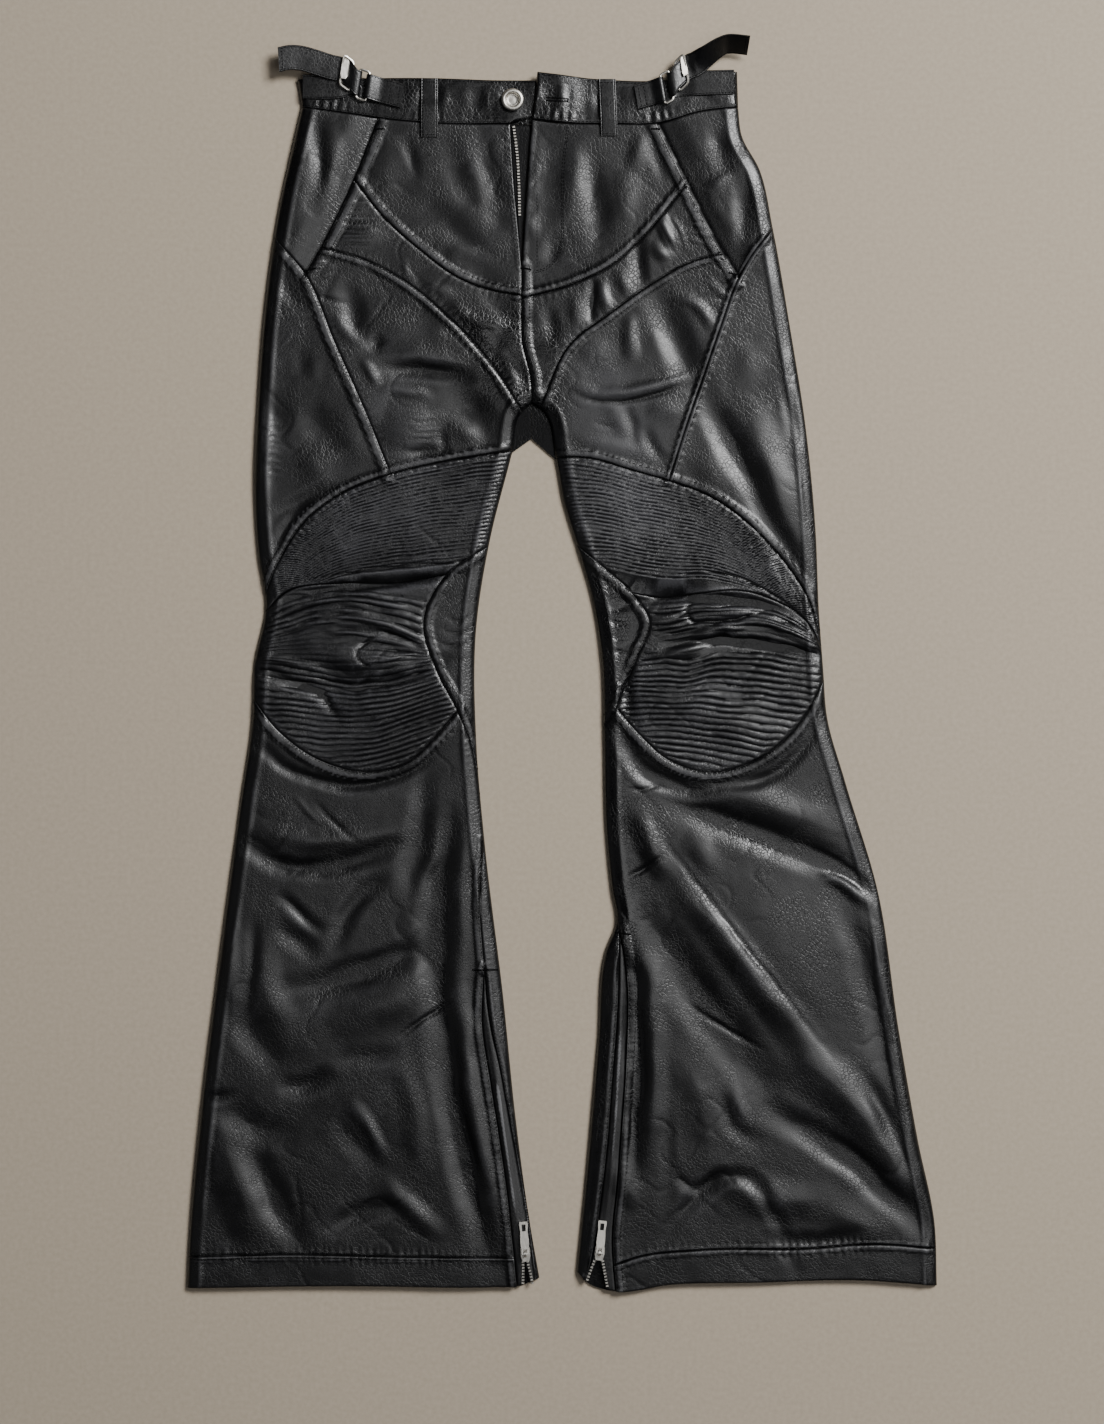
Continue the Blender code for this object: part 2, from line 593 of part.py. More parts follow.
def start_face(seed, plan, faces):
    for index, face in enumerate(faces):
        if inside(np.array([seed], float), plan[list(face)])[0]:
            return index
    raise ValueError(f"no piece at {seed}")


def flooded(start, faces, owner, cuts):
    """All the triangles that can be reached from one without crossing a seam."""
    found, waiting = {start}, [start]
    while waiting:
        face = faces[waiting.pop()]
        for a, b in zip(face, face[1:] + face[:1]):
            beside = owner.get((b, a))
            if beside is not None and beside not in found and frozenset((a, b)) not in cuts:
                found.add(beside)
                waiting.append(beside)
    return found


def loop_round(found, faces, plan):
    """The outer loop of a patch of counter-clockwise triangles."""
    onward = {}
    directed = {(a, b) for i in found for a, b in zip(faces[i], faces[i][1:] + faces[i][:1])}
    for a, b in directed:
        if (b, a) not in directed:
            onward[a] = b
    start = max(onward, key=lambda i: (plan[i][0], plan[i][1]))
    loop = [start]
    while onward[loop[-1]] != start:
        loop.append(onward[loop[-1]])
    corners = plan[loop]
    return corners[np.linalg.norm(corners - np.roll(corners, 1, axis=0), axis=1) > 0]


def spread(candidates, kept, apart):
    """Adds each candidate that keeps its distance from all the points kept before it."""
    for point in candidates:
        if not kept or np.min(np.linalg.norm(np.array(kept) - point, axis=1)) > apart:
            kept.append(point)
    return kept


def roll_points(outlines):
    """Rows of points beside the outline, where the cloth rounds down."""
    rows = []
    for route, side in outlines:
        ways = np.gradient(route, axis=0)
        normals = side * np.column_stack([-ways[:, 1], ways[:, 0]])
        normals /= np.linalg.norm(normals, axis=1)[:, None]
        rows += [route + normals * (distance + SEAM_GAP / 2) for distance in ROLL_ROWS]
    return np.vstack(rows)


def crest_points():
    """Points along each fold's crest and both of its flanks."""
    rows = []
    for fold, route in FOLD_ROUTES:
        crest = spline(route[[0, FOLD_STEPS // 2, FOLD_STEPS]], CREST_STEP)[1:-1]
        if not len(crest):
            continue
        ways = np.gradient(crest, axis=0) if len(crest) > 1 else route[-1:] - route[:1]
        normals = np.column_stack([-ways[:, 1], ways[:, 0]])
        normals /= np.linalg.norm(normals, axis=1)[:, None]
        rows += [crest, crest + normals * fold.width * 0.8, crest - normals * fold.width * 0.8]
    return np.vstack(rows)


def grid_points(polygon):
    """A coarse triangular grid over the polygon's box."""
    low, high = polygon.min(0), polygon.max(0)
    rows = np.arange(low[1] + GRID / 2, high[1], GRID * 0.87)
    return np.array([
        (x + (GRID / 2 if row % 2 else 0), y)
        for row, y in enumerate(rows)
        for x in np.arange(low[0] + GRID / 2, high[0], GRID)
    ]).reshape(-1, 2)


def inner_points(polygon, outlines, extra=()):
    """The points inside a piece that its shape needs."""
    kept = [point for point in extra if inside(point[None], polygon)[0]]
    for candidates, clear, apart in (
        (roll_points(outlines), EDGE_CLEAR / 2, 0.8),
        (crest_points(), 4, 4.5),
        (grid_points(polygon), GRID * 0.4, GRID * 0.55),
    ):
        near = candidates[inside(candidates, polygon)]
        near = near[edge_distance(near, polygon) > clear] if len(near) else near
        spread(near, kept, apart)
    return kept


def rib_lines(field, polygon):
    """Each line of the ribs inside the polygon, with how high its points stand."""
    steps = max(len(spline(guide, RIB_POINT_STEP)) for guide in field.guides)
    guides = []
    for guide in field.guides:
        fine = spline(guide, 2)
        guides.append(fine[np.linspace(0, len(fine) - 1, steps).round().astype(int)])
    lines = []
    for upper, lower, count in zip(guides, guides[1:], field.counts):
        for rib in range(count):
            for row in RIB_ROWS:
                share = (rib + row) / count
                line = upper + (lower - upper) * share
                raised = 0 if row == 0 else field.rise
                lines += clipped(line, raised, polygon)
    return lines


def clipped(line, raised, polygon):
    """The stretches of a line that keep clear of the polygon's edge, as points with their rise."""
    fine = spline(line, 3)
    good = inside(fine, polygon) & (edge_distance(fine, polygon) > EDGE_CLEAR)
    stretches = []
    for run in np.split(np.arange(len(fine)), np.flatnonzero(np.diff(good.astype(int))) + 1):
        if not good[run[0]] or len(run) < 4:
            continue
        stretch = spline(fine[run][[0, len(run) // 2, -1]] if len(run) < 9 else fine[run][::4], RIB_POINT_STEP)
        fade = smooth_step((edge_distance(stretch, polygon) - EDGE_CLEAR / 2) / RIB_FADE)
        stretches.append((stretch, raised * fade))
    return stretches


def finish_of(name):
    """A Principled material for one of the finishes."""
    made = bpy.data.materials.get(name)
    if made:
        return made
    colour, roughness, metallic = FINISHES[name]
    made = bpy.data.materials.new(name)
    made.use_nodes = True
    shader = made.node_tree.nodes["Principled BSDF"]
    shader.inputs["Base Color"].default_value = (*colour, 1)
    shader.inputs["Roughness"].default_value = roughness
    shader.inputs["Metallic"].default_value = metallic
    made.diffuse_color = (*colour, 1)
    return made


def placed(name, vertices, faces, finish):
    """A mesh object from millimetres, smooth but for its sharp edges."""
    mesh = bpy.data.meshes.new(name)
    mesh.from_pydata([Vector(v) * MM for v in vertices], [], faces)
    mesh.shade_smooth()
    mesh.set_sharp_from_angle(angle=math.radians(50))
    mesh.materials.append(finish_of(finish))
    obj = bpy.data.objects.new(name, mesh)
    bpy.context.scene.collection.objects.link(obj)
    return obj


def wall(name, polygon, sheet, finish, points=(), ribs=()):
    """A closed wall over the polygon. Ribs stand on its outer face, and the inner face stays plain."""
    flat, outer_faces, rim, place = triangulated(polygon, () if ribs else points, [line for line, _ in ribs])
    raised = np.zeros(len(flat))
    first = len(polygon)
    for line, rise in ribs:
        for i, height in enumerate(rise):
            raised[place[first + i]] = height
        first += len(line)
    flat_in, inner_faces, rim_in, _ = triangulated(polygon, points)
    outer = sheet.outer(flat, raised)
    inner = sheet.inner(flat_in, rim_in)
    shift = len(outer)
    faces = list(outer_faces)
    faces += [tuple(shift + i for i in reversed(face)) for face in inner_faces]
    for i, (a, b) in enumerate(zip(rim, rim[1:] + rim[:1])):
        c, d = rim_in[(i + 1) % len(rim_in)] + shift, rim_in[i] + shift
        faces += [(b, a, d), (b, d, c)]
    return placed(name, np.vstack([outer, inner]), faces, finish)


def plate(name, polygon, top, finish):
    """A flat layer that lies on the surface, rounded under its edge."""
    rings = [np.column_stack([polygon, np.full(len(polygon), float(top))])]
    for inset_by, height in UNDER_ROUND:
        moved = inset(polygon, inset_by) if inset_by else np.array(polygon)
        rings.append(np.column_stack([moved, np.full(len(moved), float(height))]))
    count = len(polygon)
    _, top_faces, top_rim, _ = triangulated(rings[0][:, :2])
    _, low_faces, low_rim, _ = triangulated(rings[-1][:, :2])
    back = {index: i for i, index in enumerate(top_rim)}
    faces = [tuple(back[i] for i in face) for face in top_faces]
    base = (len(rings) - 1) * count
    back = {index: base + i for i, index in enumerate(low_rim)}
    faces += [tuple(back[i] for i in reversed(face)) for face in low_faces]
    for ring in range(len(rings) - 1):
        for i in range(count):
            a, b = ring * count + i, ring * count + (i + 1) % count
            faces.append((b, a, a + count, b + count))
    return placed(name, np.vstack(rings), faces, finish)


def ribbon(name, stations, width, thickness, finish):
    """A flat strap along its stations, with a rectangular section."""
    middles = np.array([(s.x, s.y, s.z) for s in stations], float)
    ways = np.gradient(middles, axis=0)
    vertices = []
    for station, middle, way in zip(stations, middles, ways):
        turn, lean = math.radians(station.turn), math.radians(station.lean)
        across = np.array([math.sin(turn) * math.cos(lean), math.cos(turn) * math.cos(lean), math.sin(lean)])
        normal = np.cross(way, across)
        normal /= np.linalg.norm(normal)
        for side, lift in ((-1, -1), (1, -1), (1, 1), (-1, 1)):
            vertices.append(middle + across * side * width / 2 + normal * lift * thickness / 2)
    faces = [(3, 2, 1, 0), tuple(len(vertices) - 4 + i for i in range(4))]
    for first in range(0, len(vertices) - 4, 4):
        for i in range(4):
            a, b = first + i, first + (i + 1) % 4
            faces.append((a, b, b + 4, a + 4))
    obj = placed(name, vertices, faces, finish)
    face_outwards(obj)
    return obj


def face_outwards(obj):
    mesh = bmesh.new()
    mesh.from_mesh(obj.data)
    bmesh.ops.recalc_face_normals(mesh, faces=mesh.faces)
    mesh.to_mesh(obj.data)
    mesh.free()


LEG_SHEET = Sheet(relief, CLOTH, CLOTH + SEAM_GAP, ROLL, OUTLINES, CLOTH + SEAM_GAP + 0.1)


def hip_sheet(side):
    """The hip panel, which sinks towards the pocket mouth and runs on under the front."""
    route = spline(CURVES[side]["pocket"], SEAM_STEP)
    below = -1 if side == "right" else 1

    def height(points):
        distance, _, segment = nearest(points, route)
        runs = np.diff(route, axis=0)[segment]
        offset = points - route[segment]
        beyond = below * (runs[:, 0] * offset[:, 1] - runs[:, 1] * offset[:, 0]) < 0
        share = np.where(beyond, 0, smooth_step(distance / POCKET_RUN))
        return POCKET_BED + (relief(points) - POCKET_BED) * share

    return Sheet(height, CLOTH, LEG_SHEET.rim, ROLL, OUTLINES, LEG_SHEET.floor)


def tape_sheet():
    return Sheet(lambda points: relief(points) - 1.3, TAPE, LEG_SHEET.rim, ROLL, OUTLINES, LEG_SHEET.floor)


def pocket_edges(polygon, side):
    """Inset of each edge of the hip panel: half a seam gap, but out under the front at the pocket."""
    route = spline(CURVES[side]["pocket"], SEAM_STEP)
    middles = (polygon + np.roll(polygon, -1, axis=0)) / 2
    ends = nearest(polygon, route)[0]
    on_pocket = (nearest(middles, route)[0] < 0.5) & (ends < 0.5) & (np.roll(ends, -1) < 0.5)
    return np.where(on_pocket, -POCKET_REACH, SEAM_GAP / 2)


def pocket_rows(polygon, side):
    """Points where the hip panel reaches its bed under the pocket mouth, and half way up from it."""
    route = spline(CURVES[side]["pocket"], SEAM_STEP)
    way = -1 if side == "right" else 1
    rows = [route + (way * distance, 0) for distance in (1, POCKET_RUN / 2)]
    points = np.vstack(rows)
    return points[edge_distance(points, polygon) > EDGE_CLEAR]


def make_front():
    for name, polygon in pieces_of_front().items():
        side = name.rsplit("_", 1)[1]
        sheet, finish, ribs = LEG_SHEET, COATED, ()
        edge_insets = SEAM_GAP / 2
        if name.startswith("hip_side"):
            sheet = hip_sheet(side)
            edge_insets = pocket_edges(polygon, side)
        if name.startswith("ankle_zip_tape"):
            sheet, finish = tape_sheet(), "zip_tape"
        outline = inset(polygon, edge_insets)
        extra = []
        if name.startswith("hip_side"):
            extra = pocket_rows(outline, side)
        if name in RIB_FIELDS:
            ribs = rib_lines(RIB_FIELDS[name], outline)
            finish = "coated_cloth_ribbed"
        wall(name, outline, sheet, finish, inner_points(outline, OUTLINES, extra), ribs)


def band_height(points):
    """The waistband's outer face: level, but the left half rises to lap over the right."""
    return BAND_FLAT + 0 * points[:, 0]


def left_band_height(points):
    return BAND_FLAT + BAND_LAP * smooth_step((LAP_FROM - points[:, 0]) / (LAP_FROM - LAP_TO))


def make_waistband():
    rim = LEG_SHEET.rim
    right = np.vstack([
        spline(CURVES["right"]["waist"], SEAM_STEP),
        BUTTON_END,
        spline(BAND_TOP["right"], SEAM_STEP)[::-1],
    ])
    left = np.vstack([spline(CURVES["left"]["waist"], SEAM_STEP), spline(BAND_TOP["left"], SEAM_STEP)[::-1]])
    for name, polygon, height in (("right", right, band_height), ("left", left, left_band_height)):
        sheet = Sheet(height, BAND_CLOTH, rim, BAND_ROLL, BAND_SIDES, rim + 0.1)
        outline = inset(polygon, SEAM_GAP / 2)
        middle = [p for p in lap_points() if name == "left"]
        wall(f"waistband_{name}", outline, sheet, COATED, band_points(outline) + middle)
    back = np.vstack([spline(WAIST_BACK, SEAM_STEP), spline(BAND_BACK_TOP, SEAM_STEP)[::-1]])
    plate("waistband_back", inset(back, SEAM_GAP / 2), CLOTH, COATED)


def band_points(polygon):
    """Rows where the band rounds down at the side."""
    rows = []
    for route, side in BAND_SIDES:
        heights = np.linspace(route[0][1] - 5, route[1][1] + 6, 2)
        rows += [(np.interp(y, route[::-1, 1], route[::-1, 0]) + side * d, y) for y in heights for d in (1.3, 4, 8)]
    points = np.array(rows)
    return [tuple(p) for p in points[inside(points, polygon)]]


def lap_points():
    """Points across the rise of the left band over the right."""
    return [(x, y) for x in np.linspace(LAP_TO, LAP_FROM, 5) for y in (494, 510)]


def make_backs():
    waist = spline(WAIST_BACK, SEAM_STEP)
    split = CENTRE_BACK[0][0]
    centre = spline(CENTRE_BACK, SEAM_STEP)
    for side, keep in (("right", waist[:, 0] < split), ("left", waist[:, 0] > split)):
        inner = spline(CURVES[side]["inner"], SEAM_STEP)
        inner = np.vstack([[BACK_CROTCH[side]], inner[inner[:, 1] < BACK_CROTCH[side][1] - SEAM_STEP / 2]])
        hem = spline(CURVES[side]["hem"], SEAM_STEP)
        outer = spline(CURVES[side]["outer"], SEAM_STEP)
        if side == "right":
            loop = [waist[keep][:0:-1], outer, hem[1:-1], inner[::-1], centre[::-1]]
        else:
            loop = [waist[keep][-2::-1], centre, inner, hem[1:-1], outer[::-1]]
        plate(f"leg_back_{side}", inset(np.vstack(loop), SEAM_GAP / 2), CLOTH, "coated_cloth_under")


def make_fly():
    right = spline(CURVES["middle"]["fly_right"], SEAM_STEP)
    left = spline(CURVES["middle"]["fly_left"], SEAM_STEP)
    right[0][1] = left[0][1] = SHIELD_HEAD
    reach = np.array([SHIELD_REACH, 0])
    shield = np.vstack([right - reach, left[::-1] + reach])
    low = CLOTH + SEAM_GAP
    prism("fly_underlap", inset(shield, SEAM_GAP), low, SHIELD_TOP, "coated_cloth_under")
    shares = np.linspace(0.02, FLY_SHARE, 6)
    edge = spline(CURVES["middle"]["fly_right"], 2)
    edge = edge[(shares * (len(edge) - 1)).astype(int)]
    widths = FLY_TAPE_WIDTH + (FLY_TAPE_FOOT - FLY_TAPE_WIDTH) * shares / FLY_SHARE
    tape = np.vstack([edge + (SEAM_GAP, 0), (edge + np.column_stack([widths, 0 * widths]))[::-1]])
    prism("fly_zip_tape", tape, SHIELD_TOP + SEAM_GAP, FLY_TAPE_TOP, "zip_tape")


def prism(name, polygon, low, high, finish):
    """A flat slab between two heights."""
    count = len(polygon)
    _, cover, rim, _ = triangulated(polygon)
    back = {index: i for i, index in enumerate(rim)}
    cover = [tuple(back[i] for i in face) for face in cover]
    faces = [tuple(i + count for i in face) for face in cover] + [face[::-1] for face in cover]
    for i in range(count):
        j = (i + 1) % count
        faces.append((i, j, j + count, i + count))
    vertices = [(*p, z) for z in (low, high) for p in polygon]
    obj = placed(name, vertices, faces, finish)
    face_outwards(obj)
    return obj


def make_button():
    seat = BAND_FLAT + SEAM_GAP
    mesh = bmesh.new()
    ring = [mesh.verts.new(Vector((r, 0, z)) * MM) for r, z in BUTTON_PROFILE]
    edges = [mesh.edges.new(pair) for pair in zip(ring, ring[1:])]
    bmesh.ops.spin(
        mesh, geom=ring + edges, cent=(0, 0, 0), axis=(0, 0, 1), angle=math.tau, steps=BUTTON_SIDES
    )
    bmesh.ops.remove_doubles(mesh, verts=mesh.verts, dist=1e-5)
    bmesh.ops.recalc_face_normals(mesh, faces=mesh.faces)
    button = placed("waist_button", [], [], "nickel")
    mesh.to_mesh(button.data)
    mesh.free()
    button.data.shade_smooth()
    button.location = Vector((*BUTTON_AT, seat)) * MM


def make_belt_loops():
    lift = SEAM_GAP + LOOP_CLOTH / 2
    for side, (foot, head) in LOOPS.items():
        foot, head = np.array(foot, float), np.array(head, float)
        half = np.array([LOOP_WIDTH / 2, 0])
        stations = []
        for share in (0, 0.08, 0.18, 0.28, 0.45, 0.7, 0.9, 1):
            place = foot + (head - foot) * share
            on_band = place[1] > CURVES[side]["waist"][2][1] - 1
            across = np.array([place - half, place, place + half, place - (0, 4)])
            under = band_height(across) if on_band and share > 0.5 else relief(across)
            arch = 0.8 * math.sin(math.pi * share)
            stations.append(Station(*place, under.max() + lift + arch, 90, 0))
        ribbon(f"belt_loop_{side}", stations, LOOP_WIDTH, LOOP_CLOTH, COATED)


def round_bar(bar, heading, radius, turn):
    """Stations that carry a strap from under a bar, past its far side and back over it."""
    across = heading * radius * Vector((math.cos(math.radians(turn)), -math.sin(math.radians(turn))))
    return [
        Station(
            bar.x + across.x * math.cos(a),
            bar.y + across.y * math.cos(a),
            bar.z + radius * math.sin(a),
            turn,
            0,
        )
        for a in (math.radians(d) for d in (-90, -50, -17, 17, 50, 90))
    ]


def ring(name, bar_a, bar_b, turn):
    """A rectangular wire ring with rounded corners, from the middles of its two long bars."""
    a, b = np.array(bar_a), np.array(bar_b)
    turned = math.radians(turn)
    along = np.array([math.sin(turned), math.cos(turned), 0])
    across = (b - a) / np.linalg.norm(b - a)
    half = RING_LENGTH / 2 * along
    points = []
    for corner, into, onto in (
        (a - half, -along, across),
        (b - half, across, along),
        (b + half, along, -across),
        (a + half, -across, -along),
    ):
        for share in (0, 0.3, 1):
            cut = RING_CORNER * (1 - share)
            back = RING_CORNER * share
            point = corner - into * cut + onto * back if share != 0.3 else corner + (onto - into) * RING_CORNER * 0.29
            points.append(point)
    curve = bpy.data.curves.new(name, "CURVE")
    curve.dimensions = "3D"
    route = curve.splines.new("POLY")
    route.points.add(len(points) - 1)
    for target, point in zip(route.points, points):
        target.co = (*(point * MM), 1)
    route.use_cyclic_u = True
    curve.bevel_depth = RING_WIRE * MM
    curve.bevel_resolution = 2
    curve.materials.append(finish_of("nickel"))
    obj = bpy.data.objects.new(name, curve)
    bpy.context.scene.collection.objects.link(obj)


def make_adjusters():
    for side, adjuster in ADJUSTERS.items():
        turn = adjuster.turn
        strap = list(adjuster.run)
        strap += round_bar(adjuster.front_bar, adjuster.toward, WRAP, turn)
        strap += list(adjuster.tail)
        ribbon(f"adjuster_strap_{side}", strap, STRAP_WIDTH, STRAP, COATED)
        make_tab(f"adjuster_tab_{side}", adjuster)
        ring(f"ring_front_{side}", adjuster.tab_bar, adjuster.front_bar, turn)
        ring(f"ring_side_{side}", adjuster.low_bar, adjuster.top_bar, turn)


def make_tab(name, adjuster):
    """Two layers sewn on the band that part to go round the front ring's bar."""
    bar, turn = adjuster.tab_bar, adjuster.turn
    end = np.array(adjuster.tab_end, float)
    way = np.array([bar.x, bar.y]) - end
    second = TAB_LOW + TAB + SEAM_GAP
    stations = [Station(*(end + way * share), TAB_LOW, turn, 0) for share in (0, 0.5, 0.9)]
    stations += round_bar(bar, -adjuster.toward, TAB_WRAP, turn)
    for share, lift in ((0.82, 1.7), (0.68, 0.3), (0.4, 0), (0, 0)):
        stations.append(Station(*(end + way * share), second + lift, turn, 0))
    ribbon(name, stations, STRAP_WIDTH, TAB, COATED)


def slider_seat(place):
    """Height of the slider's underside, just over the highest tape below it."""
    spots = np.array(SLIDER_OUTLINE, float) + (place.x, place.y)
    return tape_sheet().outer(spots)[:, 2].max() + SEAM_GAP


def make_zip_pulls():
    for side, place in SLIDERS.items():
        seat = slider_seat(place)
        turn = math.radians(place.turn)
        frame = bpy.data.objects.new(f"slider_place_{side}", None)
        frame.location = Vector((place.x, place.y, seat)) * MM
        frame.rotation_euler = (0, 0, turn)
        bpy.context.scene.collection.objects.link(frame)
        slider = prism(f"zip_slider_{side}", np.array(SLIDER_OUTLINE), 0, SLIDER_HEIGHT, "nickel")
        slider.parent = frame
        arch = arch_over_pivot(f"zip_arch_{side}")
        arch.parent = frame
        join = slider.modifiers.new("arch", "BOOLEAN")
        join.operation = "UNION"
        join.object = arch
        pull = pull_tab(f"zip_pull_{side}")
        pull.parent = frame
        pull.location = Vector((0, 0, SLIDER_HEIGHT + PIVOT_RISE)) * MM
        pull.rotation_euler = (math.radians(-PULL_DROOP), 0, 0)


def arch_over_pivot(name):
    """The slider's bridge: a half ring over the pivot on two short legs."""
    top = SLIDER_HEIGHT + PIVOT_RISE
    foot = SLIDER_HEIGHT - 0.6
    outline = [(ARCH_OUT, foot)]
    angles = [math.pi * i / ARCH_STEPS for i in range(ARCH_STEPS + 1)]
    outline += [(ARCH_OUT * math.cos(a), top + ARCH_OUT * math.sin(a)) for a in angles]
    outline += [(-ARCH_OUT, foot), (-ARCH_IN, foot)]
    outline += [(ARCH_IN * math.cos(a), top + ARCH_IN * math.sin(a)) for a in reversed(angles)]
    outline.append((ARCH_IN, foot))
    arch = prism(name, np.array(outline), -ARCH_WIDTH / 2, ARCH_WIDTH / 2, "nickel")
    # The outline is drawn lying down: its first axis is the zip's line and its second is up
    arch.data.transform(Matrix(((0, 0, 1, 0), (1, 0, 0, 0), (0, 1, 0, 0), (0, 0, 0, 1))))
    arch.hide_render = True
    arch.display_type = "WIRE"
    return arch


def pull_tab(name):
    """A flat tab, open round the bridge and near its end, with its origin on the pivot."""
    vertices, faces = [], []
    for z in (-PULL_THICK / 2, PULL_THICK / 2):
        for along, half in PULL_ROWS:
            vertices += [(x, along, z) for x in (-half, -PULL_WINDOW, PULL_WINDOW, half)]
    layer = 4 * len(PULL_ROWS)
    cells = {
        (row, column)
        for row in range(len(PULL_ROWS) - 1)
        for column in range(3)
        if not (column == 1 and row in PULL_HOLES)
    }
    for row, column in sorted(cells):
        corners = [4 * row + column, 4 * row + column + 1, 4 * (row + 1) + column + 1, 4 * (row + 1) + column]
        faces.append(tuple(reversed(corners)))
        faces.append(tuple(c + layer for c in corners))
        for (a, b), beside in zip(
            zip(corners, corners[1:] + corners[:1]),
            ((row - 1, column), (row, column + 1), (row + 1, column), (row, column - 1)),
        ):
            if beside not in cells:
                faces.append((a, b, b + layer, a + layer))
    return placed(name, vertices, faces, "nickel")


def main():
    for obj in list(bpy.data.objects):
        bpy.data.objects.remove(obj, do_unlink=True)
    make_backs()
    make_front()
    make_waistband()
    make_fly()
    make_button()
    make_belt_loops()
    make_adjusters()
    make_zip_pulls()


main()
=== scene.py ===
"""Looks of a pair of coated flared trousers, laid flat with the front up.

Metres in the scene: +X to the wearer's left leg, +Y to the waist, +Z up, and the back lies on z = 0.
The tables, and the functions that shape a mesh before it is made, are in millimetres.
"""

import logging
import math
from collections.abc import Callable, Sequence
from dataclasses import dataclass
from enum import Enum
from typing import NamedTuple

import bmesh
import bpy
import numpy as np
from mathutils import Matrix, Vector, geometry


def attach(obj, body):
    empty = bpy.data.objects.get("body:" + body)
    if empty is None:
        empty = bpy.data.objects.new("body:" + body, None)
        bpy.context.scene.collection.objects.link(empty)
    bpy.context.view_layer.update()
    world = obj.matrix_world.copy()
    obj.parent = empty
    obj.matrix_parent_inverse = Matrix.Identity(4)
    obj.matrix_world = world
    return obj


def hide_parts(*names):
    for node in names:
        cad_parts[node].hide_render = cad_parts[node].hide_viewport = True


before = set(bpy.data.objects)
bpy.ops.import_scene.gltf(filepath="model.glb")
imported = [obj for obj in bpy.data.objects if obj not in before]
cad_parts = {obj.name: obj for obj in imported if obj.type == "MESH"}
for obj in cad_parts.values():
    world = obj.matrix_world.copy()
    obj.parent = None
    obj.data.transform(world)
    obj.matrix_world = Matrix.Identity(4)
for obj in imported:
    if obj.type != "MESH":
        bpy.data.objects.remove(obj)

LOG = logging.getLogger("trousers")
MM = 0.001
BODY = "trousers"
Points = np.ndarray

# Heights of the front's outer face over the surface, and its layers
FLAT = 7.6
LOWEST = 4.7
BACK_TOP = 2.2
RIM = 2.5
BAND_FLAT = 6.2
BAND_LAP = 3.6
LAP_FROM, LAP_TO = 24, -4
POCKET_BED = 4.8
POCKET_RUN = 26
POCKET_DIP, POCKET_GAP, POCKET_SHADE = 1.3, 3.2, 3.5  # depth and width of the mouth, and how dark its painted shadow is
POCKET_REACH = 8
TAPE_DROP = 1.3
TAPE_WALL = 1.2
SEAM_GAP = 0.3
WALL = 2.0
ROLL = 13
BAND_ROLL = 8
NARROWEST = 10.1  # a cut's least width, for a tape that goes on under its panel

# Spacing of the points of the meshes
CURVE_STEP = 2.2
GRID = 1.8
BAND_GRID = 1.5
INNER_GRID = 14
BACK_GRID = 9
TAPE_GRID = 3
EDGE_ROWS = (0.45, 1.1, 2.0)  # rows of points along a cut edge, by their distance in from it
ROLL_ROWS = (0.5, 1.4, 2.8, 4.6)  # and along an outline, where the cloth rolls over
OVERRUN = 5  # how far a seam's line goes on past its ends
MERGE = 1.0
RIB_APART = 0.5
RIB_ROWS = (0.0, 0.12, 0.3, 0.5, 0.7, 0.88)  # rows of points across one rib
ROUTE_BLOCK = 12

UNCOATED, UNDERLAID_SHADE = -5.0, -2.0  # marks of the cloth's wrong side and of the face under the front, which is painted black as the shade in the gaps
SUNK = -1.5  # mark of a strap's sewn grooves

# A fold's form
FOLD_REACH = 1.3  # it fades out over its width times this
FOLD_RUNOUT = 0.14  # it runs out past each end by this share of its length
FLANK = 0.45  # it is placed by its shading, which lies this share of its width from its crest
LIT = (0.66, 0.75)  # the way to the light in plan
BROAD = 7.5  # from this width on it shapes the inner face too
KNEE = (-112, 100)  # the ribbed stretch in Y, whose folds stay narrow
PLAIN_WIDTH, PLAIN_RISE = 1.35, 1.15  # change of a fold elsewhere
SLIGHT, PLAIN_SLIGHT = 5, 0.6  # there, a fold narrower than this rises by this share

# A piece dips into its seams and rounds over its free edges
EDGE_RUN, EDGE_DROP = 1.7, 1.0
EDGE_LINE = 0.7  # rubbed line where the top turns down to the side


class Fold(NamedTuple):
    """A soft bump (+) or trough (-) of the cloth along a curve."""

    start: tuple[float, float]
    middle: tuple[float, float]
    end: tuple[float, float]
    width: float
    rise: float
    crisp: float = 0.15


def creases(rows: Sequence[tuple]) -> tuple[Fold, ...]:
    """Folds from the rows of a table."""
    return tuple(Fold(row[:2], row[2:4], row[4:6], *row[6:]) for row in rows)


class RibField(NamedTuple):
    """Ribs along guide curves: how many lie between one guide and the next, and how high they stand."""

    guides: tuple
    counts: tuple[int, ...]
    rises: tuple[float, ...]


class Seam(NamedTuple):
    """A seam's raised band, its stitch rows and its puckers, measured from the line, + to the left of its run."""

    side: str
    curve: str
    low: float
    high: float
    rows: tuple[float, ...]
    pucker: float
    rise: float = 1.0


class Gathers(NamedTuple):
    """Small ridges side by side, from one line to another."""

    first: tuple
    last: tuple
    count: int
    width: float
    rise: float
    wander: float = 1.2


